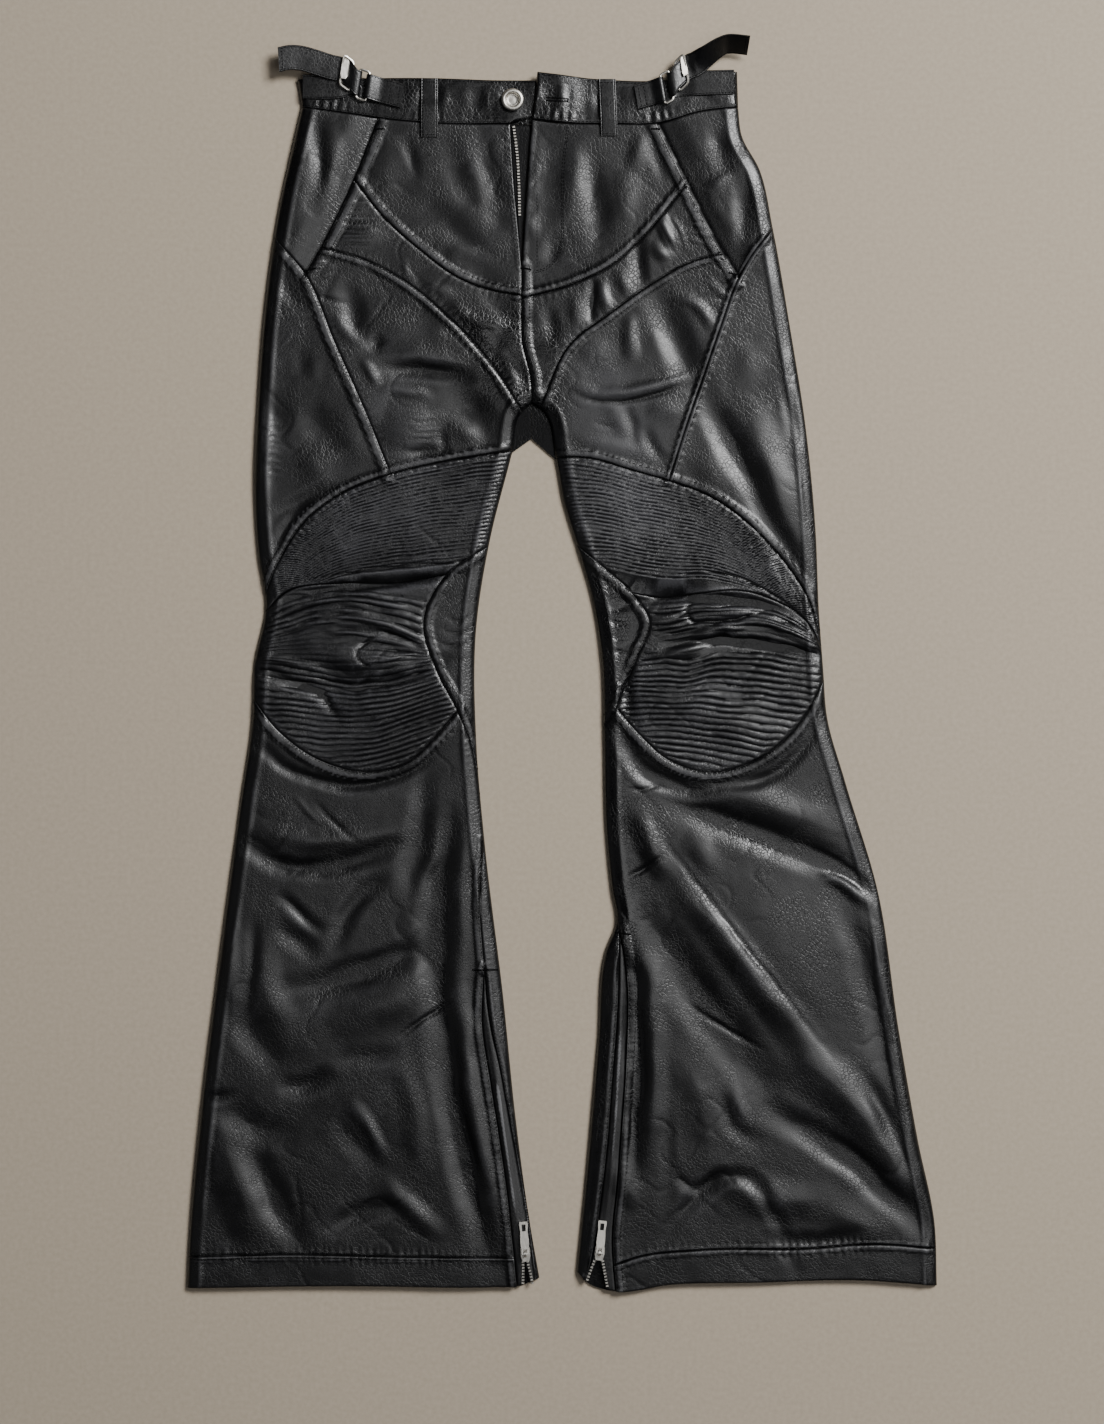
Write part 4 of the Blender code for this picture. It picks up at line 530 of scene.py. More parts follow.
def smooth_step(value: np.ndarray) -> np.ndarray:
    """Eases values from 0 to 1."""
    value = np.clip(value, 0, 1)
    return value * value * (3 - 2 * value)


@dataclass(frozen=True)
class Beside:
    """Where points lie beside a route: distance, signed distance (+ left), length run, and the route's way."""

    distance: np.ndarray
    offset: np.ndarray
    run: np.ndarray
    way: Points


def beside(points: Points, route: Points, reach: float) -> Beside:
    """Measures plan points against a route.

    Args:
        points: plan points.
        route: the corners of the route.
        reach: how far from the route a point is looked for. Beyond it the distance is infinite.

    Returns:
        The measures, one for each point.
    """
    count = len(points)
    found = Beside(np.full(count, np.inf), np.zeros(count), np.zeros(count), np.zeros((count, 2)))
    runs = np.diff(route, axis=0)
    lengths = np.linalg.norm(runs, axis=1)
    stops = np.concatenate([[0], np.cumsum(lengths)])
    for first in range(0, len(runs), ROUTE_BLOCK):
        part = route[first : first + ROUTE_BLOCK + 1]
        low, high = part.min(0) - reach, part.max(0) + reach
        close = np.flatnonzero(((points > low) & (points < high)).all(1))
        if not len(close):
            continue
        steps, sizes = runs[first : first + ROUTE_BLOCK], lengths[first : first + ROUTE_BLOCK]
        spans = points[close, None] - part[:-1]
        shares = np.clip((spans * steps).sum(-1) / sizes**2, 0, 1)
        gaps = np.linalg.norm(spans - shares[..., None] * steps, axis=-1)
        best = gaps.argmin(1)
        rows = np.arange(len(close))
        gap, span, step = gaps[rows, best], spans[rows, best], steps[best]
        nearer = (gap < reach) & (gap < found.distance[close])
        picked = close[nearer]
        left = step[:, 0] * span[:, 1] - step[:, 1] * span[:, 0] >= 0
        found.distance[picked] = gap[nearer]
        found.offset[picked] = np.where(left, gap, -gap)[nearer]
        found.run[picked] = (stops[first + best] + shares[rows, best] * sizes[best])[nearer]
        found.way[picked] = (step / sizes[best][:, None])[nearer]
    return found


def close_to(points: Points, route: Points, reach: float) -> tuple[np.ndarray, Beside]:
    """The indices of the points within reach of a route, and their measures alone."""
    found = beside(points, route, reach)
    near = np.flatnonzero(found.distance < reach)
    return near, Beside(found.distance[near], found.offset[near], found.run[near], found.way[near])


def length_of(route: Points) -> float:
    """How long a route is."""
    return float(np.linalg.norm(np.diff(route, axis=0), axis=1).sum())


def surface(height: Callable[[Points], np.ndarray]) -> Callable[[Points], Points]:
    """What puts plan points on a surface, made from what gives its height."""
    return lambda points: np.column_stack([points, height(points)])


def ripple(points: Points, cell: float, seed: int) -> np.ndarray:
    """Seeded smooth noise.

    Args:
        points: plan points.
        cell: distance over which it changes.
        seed: which noise it is.

    Returns:
        Values from -1 to 1.
    """
    table = np.random.default_rng(seed).uniform(-1, 1, (97, 97))
    turn = 0.7 + 1.3 * seed  # each one has its own grain, so no two line up
    spots = points @ np.array([[math.cos(turn), -math.sin(turn)], [math.sin(turn), math.cos(turn)]]) / cell + 40
    low = np.floor(spots).astype(int)
    share = spots - low
    share = share**3 * (share * (6 * share - 15) + 10)
    (i, j), (s, t) = (low % 97).T, share.T
    k, m = (i + 1) % 97, (j + 1) % 97
    return (table[i, j] * (1 - s) + table[k, j] * s) * (1 - t) + (table[i, m] * (1 - s) + table[k, m] * s) * t


def fold_route(fold: Fold) -> Points:
    """The fold's curve: a parabola from its start through its middle to its end."""
    start, middle, end = (np.array(p, float) for p in (fold.start, fold.middle, fold.end))
    control = 2 * middle - (start + end) / 2
    t = np.linspace(-FOLD_RUNOUT, 1 + FOLD_RUNOUT, 15)[:, None]
    return (1 - t) ** 2 * start + 2 * t * (1 - t) * control + t**2 * end - FLANK * fold.width * np.array(LIT)


def laid(fold: Fold) -> Fold:
    """The fold as its cloth takes it: plain cloth bends more broadly than ribbed cloth."""
    if KNEE[0] < fold.middle[1] < KNEE[1]:
        return fold
    if fold.width < SLIGHT:
        return fold._replace(rise=fold.rise * PLAIN_SLIGHT)
    return fold._replace(width=fold.width * PLAIN_WIDTH, rise=fold.rise * PLAIN_RISE)


def gathered(gathers: Gathers, seed: int) -> list[Fold]:
    """The small ridges of one patch, each a little different."""
    random = np.random.default_rng(seed)
    first, last = np.array(gathers.first, float), np.array(gathers.last, float)
    folds = []
    for share in np.linspace(0, 1, gathers.count):
        line = first + (last - first) * share + random.uniform(-1, 1, (3, 2)) * gathers.wander
        line[0] += (line[1] - line[0]) * random.uniform(0, 0.35)
        line[2] += (line[1] - line[2]) * random.uniform(0, 0.35)
        rise = gathers.rise * random.uniform(0.6, 1.15)
        folds.append(Fold(*(tuple(p) for p in line), gathers.width * random.uniform(0.8, 1.2), rise, 0.6))
    return folds


def curve(side: str, name: str) -> Points:
    """One of the seams or outlines, finely drawn."""
    return spline(CURVES[side][name], CURVE_STEP)


OUTLINES = [(curve(side, name), inward) for (side, name), inward in INWARD.items()]
BAND_SIDES = [
    (np.array([BAND_TOP["right"][0], CURVES["right"]["waist"][0]], float), 1),
    (np.array([BAND_TOP["left"][-1], CURVES["left"]["waist"][-1]], float), -1),
]


class Relief:
    """The height of the front's outer face over the plan: folds, creases, seams and unevenness."""

    def __init__(self) -> None:
        """Draws the route of every fold."""
        patches = [fold for seed, patch in enumerate(GATHERS) for fold in gathered(patch, seed)]
        folds = [laid(fold) for fold in FOLDS]
        self.broad = [(fold, fold_route(fold)) for fold in folds if fold.width >= BROAD]
        self.fine = [(fold, fold_route(fold)) for fold in (*folds, *patches) if fold.width < BROAD]
        self.marks = [(mark, fold_route(mark)) for mark in MARKS]
        self.seams = [(seam, curve(seam.side, seam.curve)) for seam in SEAMS]

    def risen(self, points: Points, folds: Sequence[tuple[Fold, Points]]) -> np.ndarray:
        """How far the given folds lift the cloth at each point."""
        lift = np.zeros(len(points))
        for fold, route in folds:
            reach = fold.width * FOLD_REACH
            near, found = close_to(points, route, reach)
            share = found.distance / reach
            soft, crisp = (1 - share**2) ** 3, (1 - share) ** 2.4
            along = np.sin(math.pi * np.clip(found.run / length_of(route), 0, 1)) ** 1.4
            lift[near] += fold.rise * (soft + (crisp - soft) * fold.crisp) * along
        return lift

    def base(self, points: Points) -> np.ndarray:
        """Height with the broad folds and the slow unevenness alone."""
        wander = np.column_stack([ripple(points, 26, 1), ripple(points, 26, 2)]) * 1.9
        height = FLAT + 0.4 + self.risen(points + wander, self.broad)
        height += 1.1 * ripple(points, 80, 5) + 0.4 * ripple(points, 36, 10)
        over = height - LOWEST
        return LOWEST + (over + np.sqrt(over**2 + 0.8)) / 2

    def height(self, points: Points) -> np.ndarray:
        """Height with everything."""
        wander = np.column_stack([ripple(points, 13, 6), ripple(points, 13, 7)]) * 0.9
        height = self.base(points) + self.risen(points + wander, self.fine)
        height += 0.12 * ripple(points, 17, 8) + 0.05 * ripple(points, 7, 9)
        lines = np.clip(1 - np.abs(ripple(points, 24, 11)) / 0.16, 0, 1)
        height -= 0.3 * lines * np.clip(2 * ripple(points, 50, 12), 0, 1)
        for seam, route in self.seams:
            near, found = close_to(points, route, SEAM_REACH)
            height[near] += seam_lift(seam, found.offset, found.run)
        return height

    def wear_and_shade(self, points: Points) -> np.ndarray:
        """How rubbed the seams leave each point, with the marks added: painted shade (-) and lighter patches (+)."""
        rubbed = np.zeros(len(points))
        for seam, route in self.seams:
            near, found = close_to(points, route, WEAR_REACH)
            band = worn_band(seam, found.offset, found.run)
            rubbed[near] = np.where(np.abs(band) > np.abs(rubbed[near]), band, rubbed[near])
        return rubbed + self.risen(points, self.marks)


def worn_band(seam: Seam, offset: np.ndarray, run: np.ndarray) -> np.ndarray:
    """How rubbed a seam's band is at each point, from 0 to 1, and how dull (-) its sewn rows are."""
    along = np.column_stack([run, 0 * run])
    rubbed = np.clip(0.5 + 0.9 * ripple(along, 23, 24) + 0.5 * ripple(along, 5, 25), 0, 1)
    inner = smooth_step((offset - seam.low) / BAND_SHOULDER + 0.3)
    outer = smooth_step((seam.high - offset) / BAND_SHOULDER + 0.3)
    sewn = sum((np.abs(offset - row) < 0.8).astype(float) for row in seam.rows)
    return rubbed * inner * outer - 1.4 * np.minimum(sewn, 1)


def seam_lift(seam: Seam, offset: np.ndarray, run: np.ndarray) -> np.ndarray:
    """How a seam's band and puckers change the height.

    Args:
        seam: the seam.
        offset: signed distance of each point from its line.
        run: length run along the line at each point.

    Returns:
        The change of height of each point.
    """
    along = np.column_stack([run, 0 * run])
    uneven = 1 + 0.35 * ripple(along, 14, 21)
    inner = smooth_step((offset - seam.low) / BAND_SHOULDER + 0.5)
    outer = smooth_step((seam.high - offset) / BAND_SHOULDER + 0.5)
    lift = seam.rise * inner * outer * uneven
    for row in seam.rows:
        lift -= STITCH_SINK * np.clip(1 - np.abs(offset - row) / 1.0, 0, 1)
    phase = run + 2.6 * ripple(along, 11, 22)
    waves = np.sin(2 * math.pi * phase / PUCKER_PITCH) + 0.5 * np.sin(2 * math.pi * phase / (0.47 * PUCKER_PITCH))
    window = np.exp(-(((np.abs(offset) - PUCKER_AWAY) / PUCKER_REACH * 1.6) ** 2)) * (np.abs(offset) > SEAM_GAP)
    patchy = 0.25 + np.clip(1.3 * ripple(along, 31, 23), 0, 1)
    return lift + seam.pucker * waves * window * patchy


def to_outline(points: Points, outlines: Sequence[tuple[Points, int]]) -> tuple[np.ndarray, Points]:
    """Distance to the nearest outline, up to the roll's width, and the way in from it."""
    distance = np.full(len(points), np.inf)
    inward = np.zeros((len(points), 2))
    for route, side in outlines:
        found = beside(points, route, ROLL + 2)
        closer = found.distance < distance
        distance[closer] = found.distance[closer]
        inward[closer] = side * np.column_stack([-found.way[:, 1], found.way[:, 0]])[closer]
    return np.maximum(distance - SEAM_GAP / 2, 0), inward


@dataclass
class Layer:
    """One layer over the back: its outer face and an inner face that follows it.

    Args:
        height: outer height at plan points.
        base: the same without its fine detail, which the inner face follows.
        roll: width over which it rounds down at the outlines.
        outlines: the outlines, each with the side that is inward.
        wall: thickness.
        edge_line: how high a rubbed line stands where the top turns down to the side.
        wear_and_shade: how rubbed its seams are at plan points, and where it is painted darker as shade.
    """

    height: Callable[[Points], np.ndarray]
    base: Callable[[Points], np.ndarray]
    roll: float
    outlines: Sequence[tuple[Points, int]]
    wall: float = WALL
    edge_line: float = 0.0
    wear_and_shade: Callable[[Points], np.ndarray] | None = None

    def outer(self, points: Points, raised: np.ndarray | float = 0.0) -> Points:
        """Points of the outer face over plan points, some raised a little more."""
        distance, _ = to_outline(points, self.outlines)
        share = np.clip(distance / self.roll, 0, 1)
        round_share = np.sqrt(share * (2 - share))
        height = self.height(points) + raised
        if self.edge_line:
            uneven = 1 + 0.5 * ripple(points, 30, 31)
            ridge = np.exp(-(((distance - self.roll * 0.86) / 2.0) ** 2))
            height = height + self.edge_line * uneven * np.where(np.isfinite(distance), ridge, 0)
        return np.column_stack([points, RIM + (height - RIM) * round_share])

    def inner(self, points: Points) -> Points:
        """The inner face: moved down, and in from the outline where the outer face rounds down."""
        distance, inward = to_outline(points, self.outlines)
        share = np.clip(distance / self.roll, 0, 1)
        height = np.maximum(self.base(points) - self.wall, RIM + 0.1)
        moved = points + 1.2 * (1 - share)[:, None] * inward
        return np.column_stack([moved, RIM + (height - RIM) * np.sqrt(share * (2 - share))])


def inset(polygon: Points, distances: np.ndarray | float) -> Points:
    """A counter-clockwise polygon with each edge moved in by its own distance."""
    edges = np.roll(polygon, -1, axis=0) - polygon
    ways = edges / np.linalg.norm(edges, axis=1)[:, None]
    normals = np.column_stack([-ways[:, 1], ways[:, 0]])
    distances = np.broadcast_to(distances, len(polygon)).astype(float)
    before, gap = np.roll(normals, 1, axis=0), np.roll(distances, 1)
    cross = before[:, 0] * normals[:, 1] - before[:, 1] * normals[:, 0]
    level = np.abs(cross) < 0.02
    safe = np.where(level, 1, cross)[:, None]
    mitred = np.column_stack([
        gap * normals[:, 1] - distances * before[:, 1],
        distances * before[:, 0] - gap * normals[:, 0],
    ])
    even = (before * gap[:, None] + normals * distances[:, None]) / 2
    return polygon + np.where(level[:, None], even, mitred / safe)


def inside(points: Points, polygon: Points) -> np.ndarray:
    """Which of the points lie in the polygon."""
    held = np.zeros(len(points), bool)
    for a, b in zip(polygon, np.roll(polygon, -1, axis=0)):
        if a[1] != b[1]:
            spans = (a[1] > points[:, 1]) != (b[1] > points[:, 1])
            held ^= spans & (points[:, 0] < a[0] + (points[:, 1] - a[1]) * (b[0] - a[0]) / (b[1] - a[1]))
    return held


def closed(polygon: Points) -> Points:
    """The polygon's corners with the first again at the end."""
    return np.vstack([polygon, polygon[:1]])


def thinned(points: Points, apart: float) -> Points:
    """The points, at most one in each small square, the first ones kept."""
    _, kept = np.unique(np.round(points / apart).astype(int), axis=0, return_index=True)
    return points[np.sort(kept)]


def filled(polygon: Points, points: Points) -> tuple[Points, np.ndarray, np.ndarray, np.ndarray]:
    """Triangles that fill a polygon through inner points.

    Args:
        polygon: counter-clockwise corners.
        points: inner points.

    Returns:
        The plan points, the triangles, the index of each corner, and the source index of each plan point.
    """
    corners = [Vector(p) for p in np.vstack([polygon, points])]
    found = geometry.delaunay_2d_cdt(corners, [], [list(range(len(polygon)))], 1, 1e-4)
    flat = np.array([tuple(v) for v in found[0]])
    place = {source: i for i, sources in enumerate(found[3]) for source in sources}
    sources = np.array([min(s) if s else -1 for s in found[3]])
    return flat, np.array(found[2]), np.array([place[i] for i in range(len(polygon))]), sources


def grid(polygon: Points, step: float, clear: float) -> Points:
    """A triangular grid of points inside a polygon and clear of its edge."""
    low, high = polygon.min(0), polygon.max(0)
    rows = np.arange(low[1] + step / 2, high[1], step * 0.87)
    across = np.arange(low[0] + step / 2, high[0], step)
    points = np.array([(x + (step / 2 if i % 2 else 0), y) for i, y in enumerate(rows) for x in across]).reshape(-1, 2)
    points = points[inside(points, polygon)]
    return points[beside(points, closed(polygon), clear).distance > clear]


def beyond(before: Points, end: Points) -> Points:
    """A point a little past a seam's end, so that it crosses the seam it runs into."""
    return end + OVERRUN * (end - before) / np.linalg.norm(end - before)


def front_pieces() -> dict[str, Points]:
    """Cuts the plan along all the curves.

    Returns:
        The counter-clockwise polygon of each seeded piece.
    """
    corners, edges = [], []
    for side, curves in CURVES.items():
        for name in curves:
            route = curve(side, name)
            if name not in PERIMETER:
                route = np.vstack([beyond(route[1], route[0]), route, beyond(route[-2], route[-1])])
            edges += [(len(corners) + i, len(corners) + i + 1) for i in range(len(route) - 1)]
            corners += [Vector(p) for p in route]
    for mouth in ZIP_MOUTHS.values():
        edges += [(len(corners) + i, len(corners) + i + 1) for i in range(2)]
        corners += [Vector(p) for p in mouth]
    points, found_edges, faces, _, sources, _ = geometry.delaunay_2d_cdt(corners, edges, [], 0, 0.3)
    cuts = {frozenset(edge) for edge, source in zip(found_edges, sources) if source}
    owner = {pair: i for i, face in enumerate(faces) for pair in zip(face, face[1:] + face[:1])}
    plan = np.array([tuple(p) for p in points])
    triangles = np.array(faces)
    a, b, c = plan[triangles[:, 0]], plan[triangles[:, 1]], plan[triangles[:, 2]]
    pieces = {}
    for name, seed in SEEDS.items():
        spot = np.array(seed, float)
        turns = [np.cross(q - p, spot - p) >= 0 for p, q in ((a, b), (b, c), (c, a))]
        start = int(np.flatnonzero(np.all(turns, axis=0))[0])
        pieces[name] = loop_round(flooded(start, faces, owner, cuts), faces, plan)
    return pieces


def flooded(start: int, faces: list, owner: dict, cuts: set) -> set[int]:
    """All the triangles that can be reached from one without crossing a seam."""
    found, waiting = {start}, [start]
    while waiting:
        face = faces[waiting.pop()]
        for a, b in zip(face, face[1:] + face[:1]):
            next_to = owner.get((b, a))
            if next_to is not None and next_to not in found and frozenset((a, b)) not in cuts:
                found.add(next_to)
                waiting.append(next_to)
    return found


def loop_round(found: set[int], faces: list, plan: Points) -> Points:
    """The outer loop of a patch of counter-clockwise triangles, with crowded corners left out."""
    directed = {(a, b) for i in found for a, b in zip(faces[i], faces[i][1:] + faces[i][:1])}
    onward = {a: b for a, b in directed if (b, a) not in directed}
    start = max(onward, key=lambda i: (plan[i][0], plan[i][1]))
    loop = [start]
    while onward[loop[-1]] != start:
        loop.append(onward[loop[-1]])
    kept = [plan[loop[0]]]
    for corner in plan[loop[1:]]:
        if np.linalg.norm(corner - kept[-1]) > MERGE and np.linalg.norm(corner - kept[0]) > MERGE:
            kept.append(corner)
    return np.array(kept)


class Mesh:
    """A mesh in the making, from millimetres."""

    def __init__(self) -> None:
        """Starts with nothing."""
        self.vertices: list[Points] = []
        self.faces: list[Sequence[int]] = []
        self.count = 0

    def add(self, vertices: Points, faces: Sequence[Sequence[int]]) -> int:
        """Adds vertices and their faces, and returns the index of the first vertex."""
        first = self.count
        self.vertices.append(np.asarray(vertices, float))
        self.faces += [tuple(first + int(i) for i in face) for face in faces]
        self.count += len(vertices)
        return first

    def wall(self, upper: Sequence[int], lower: Sequence[int]) -> None:
        """Joins the rim of an upper face to that of a lower one with as many corners."""
        for a, b, c, d in zip(upper, np.roll(upper, -1), np.roll(lower, -1), lower):
            self.faces += [(int(b), int(a), int(d)), (int(b), int(d), int(c))]

    def tube(self, vertices: Points, size: int) -> None:
        """Adds rings of vertices, joined one to the next and closed at both ends.

        Args:
            vertices: the rings one after the other.
            size: how many vertices a ring has.
        """
        last = len(vertices) - size
        sides = [
            (ring + j, ring + (j + 1) % size, ring + size + (j + 1) % size, ring + size + j)
            for ring in range(0, last, size) for j in range(size)
        ]
        self.add(vertices, [*sides, tuple(range(size))[::-1], tuple(last + j for j in range(size))])

    def place(
        self, name: str, finish: "Finish", marks: np.ndarray | None = None, sharp: float | None = 60,
    ) -> bpy.types.Object:
        """Makes the object.

        Args:
            name: the object's name.
            finish: what it is made of.
            marks: how rubbed (+) or darkened (-) each vertex is; the dark end also holds painted shade.
            sharp: the angle in degrees from which an edge looks sharp.

        Returns:
            The object, riding with the trousers.
        """
        mesh = bpy.data.meshes.new(name)
        mesh.from_pydata(np.vstack(self.vertices) * MM, [], self.faces)
        mesh.shade_smooth()
        if sharp is not None:
            mesh.set_sharp_from_angle(angle=math.radians(sharp))
        # The rubbed attribute carries wear and also painted shade in creases, gaps and at rolled edges.
        attribute = mesh.attributes.new("rubbed", "FLOAT", "POINT")
        values = np.zeros(self.count) if marks is None else marks
        attribute.data.foreach_set("value", values.astype(np.float32))
        mesh.materials.append(finish.material())
        obj = bpy.data.objects.new(name, mesh)
        bpy.context.scene.collection.objects.link(obj)
        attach(obj, BODY)
        finish.slot
        return obj


def ridge_wear_and_crease_shade(height: np.ndarray, faces: np.ndarray, rounds: int, scale: float) -> np.ndarray:
    """How far each point stands over (+) or under (-) the cloth round it.

    Args:
        height: height of each point.
        faces: the triangles that join them.
        rounds: how often the height is averaged with its neighbours.
        scale: the height in millimetres that counts as 1.

    Returns:
        Values from -1 to 1.
    """
    edges = np.vstack([faces[:, [0, 1]], faces[:, [1, 2]], faces[:, [2, 0]]])
    a, b = np.concatenate([edges[:, 0], edges[:, 1]]), np.concatenate([edges[:, 1], edges[:, 0]])
    degree = np.maximum(np.bincount(a, minlength=len(height)), 1)
    level = height.copy()
    for _ in range(rounds):
        level = 0.5 * level + 0.5 * np.bincount(a, weights=level[b], minlength=len(height)) / degree
    return np.clip((height - level) / scale, -1, 1)


def area_of(vertices: Points, faces: np.ndarray) -> float:
    """The area of some triangles."""
    a, b, c = vertices[faces[:, 0]], vertices[faces[:, 1]], vertices[faces[:, 2]]
    return float(np.linalg.norm(np.cross(b - a, c - a), axis=1).sum() / 2)


def cut_size(plan: Points) -> tuple[float, float]:
    """Width and length of the narrowest rectangle round a plan."""
    best = (np.inf, 0.0, 0.0)
    for turn in np.radians(np.arange(0, 90, 3)):
        turned = plan @ np.array([[math.cos(turn), -math.sin(turn)], [math.sin(turn), math.cos(turn)]])
        width, length = np.ptp(turned, axis=0)
        best = min(best, (width * length, width, length))
    return best[1], best[2]


def declare(obj: bpy.types.Object, plan: Points, area: float) -> None:
    """Works out the width and length of a piece's cut from its plan, a sheet laid flat; the sizes are not used further.
    """
    width, length = (max(size, NARROWEST) for size in cut_size(plan))


def shell(
    name: str, polygon: Points, layer: Layer, finish: "Finish",
    points: Points | None = None, raised: np.ndarray | None = None, step: float = GRID,
) -> bpy.types.Object:
    """Makes a thin closed shell over a polygon.

    Args:
        name: the CAD node that it stands for.
        polygon: counter-clockwise plan.
        layer: its faces.
        finish: what it is made of.
        points: inner points, where they aren't a plain grid.
        raised: how far each of them is raised.
        step: spacing of the plain grid.

    Returns:
        The piece.
    """
    outline = closed(polygon)
    rows = [inset(polygon, row) for row in EDGE_ROWS]
    near = [row[inside(row, polygon)] for row in rows]
    near = [row[beside(row, outline, 3).distance > 0.9 * gap] for row, gap in zip(near, EDGE_ROWS)]
    roll_rows = np.vstack([
        route + side * distance * turned(route) for route, side in layer.outlines for distance in ROLL_ROWS
    ])
    roll_rows = roll_rows[inside(roll_rows, polygon)]
    roll_rows = roll_rows[beside(roll_rows, outline, 1).distance > 0.7]
    edge_points = thinned(np.vstack([*near, roll_rows]), 0.65)
    body = grid(polygon, step, EDGE_ROWS[-1] + 0.5 * step) if points is None else points
    count = len(polygon) + len(edge_points)
    flat, faces, rim, sources = filled(polygon, np.vstack([edge_points, body]))
    lift = np.zeros(len(flat))
    if raised is not None:
        from_body = sources >= count
        lift[from_body] = raised[sources[from_body] - count]
    away = beside(flat, outline, EDGE_RUN).distance
    lift -= EDGE_DROP * np.clip(1 - away / EDGE_RUN, 0, 1) ** 2
    outer = layer.outer(flat, lift)
    inner_flat, inner_faces, inner_rim, _ = filled(polygon, grid(polygon, INNER_GRID, 4))
    inner = layer.inner(inner_flat)
    inner[inner_rim, 2] = np.minimum(inner[inner_rim, 2], outer[rim, 2])
    mesh = Mesh()
    mesh.add(outer, faces)
    shift = mesh.add(inner, inner_faces[:, ::-1])
    mesh.wall(rim, shift + inner_rim)
    # Ridges are marked lighter, as rubbed, and hollows and creases darker, as painted shade.
    marks = ridge_wear_and_crease_shade(outer[:, 2], faces, 7, 0.6)
    if layer.wear_and_shade:
        marks += layer.wear_and_shade(flat)
    # Painted shade where the cloth rolls down at the outlines, on the side turned away from the light.
    turn = to_outline(flat, layer.outlines)[0] / (0.8 * layer.roll)
    marks -= 0.7 * np.clip(1 - turn, 0, 1) ** 0.5
    marks = np.concatenate([marks, np.full(len(inner), UNCOATED)])
    obj = mesh.place(f"cloth_{name}", finish, marks)
    declare(obj, polygon, area_of(outer, faces))
    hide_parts(name)
    LOG.info("%s: %d triangles", name, len(faces) + len(inner_faces))
    return obj


def turned(route: Points) -> Points:
    """The unit normals to the left of a route, one at each point."""
    ways = np.gradient(route, axis=0)
    normals = np.column_stack([-ways[:, 1], ways[:, 0]])
    return normals / np.linalg.norm(normals, axis=1)[:, None]


def linear(hex_colour: str) -> tuple[float, float, float, float]:
    """An sRGB hex colour as linear values with full alpha."""
    parts = [int(hex_colour[i : i + 2], 16) / 255 for i in (1, 3, 5)]
    return (*(p / 12.92 if p <= 0.04045 else ((p + 0.055) / 1.055) ** 2.4 for p in parts), 1.0)


def add_node(
    tree: bpy.types.NodeTree, kind: str, settings: dict | None = None, links: dict | None = None,
) -> bpy.types.Node:
    """Adds a node.

    Args:
        tree: the tree it goes into.
        kind: its type.
        settings: values by socket name or number, or by property.
        links: sockets that lead into it, by socket name or number.

    Returns:
        The node.
    """
    node = tree.nodes.new(kind)
    for key, value in (settings or {}).items():
        if isinstance(key, int) or key in node.inputs:
            node.inputs[key].default_value = value
        else:
            setattr(node, key, value)
    for key, socket in (links or {}).items():
        tree.links.new(socket, node.inputs[key])
    return node


def new_tree(name: str) -> tuple[bpy.types.Material, bpy.types.NodeTree, bpy.types.Node, bpy.types.Node]:
    """A new material with its tree, its shader and its place in metres."""
    material = bpy.data.materials.new(name)
    material.use_nodes = True
    tree = material.node_tree
    place = add_node(tree, "ShaderNodeTexCoord")
    return material, tree, tree.nodes["Principled BSDF"], place


YARNS_PER_UNIT = 6.3  # a wave texture at scale 1 has half as many waves in one unit, and a wave is two yarns


def per_metre(millimetres: float) -> float:
    """A pattern's scale for features of that size."""
    return 1000 / millimetres


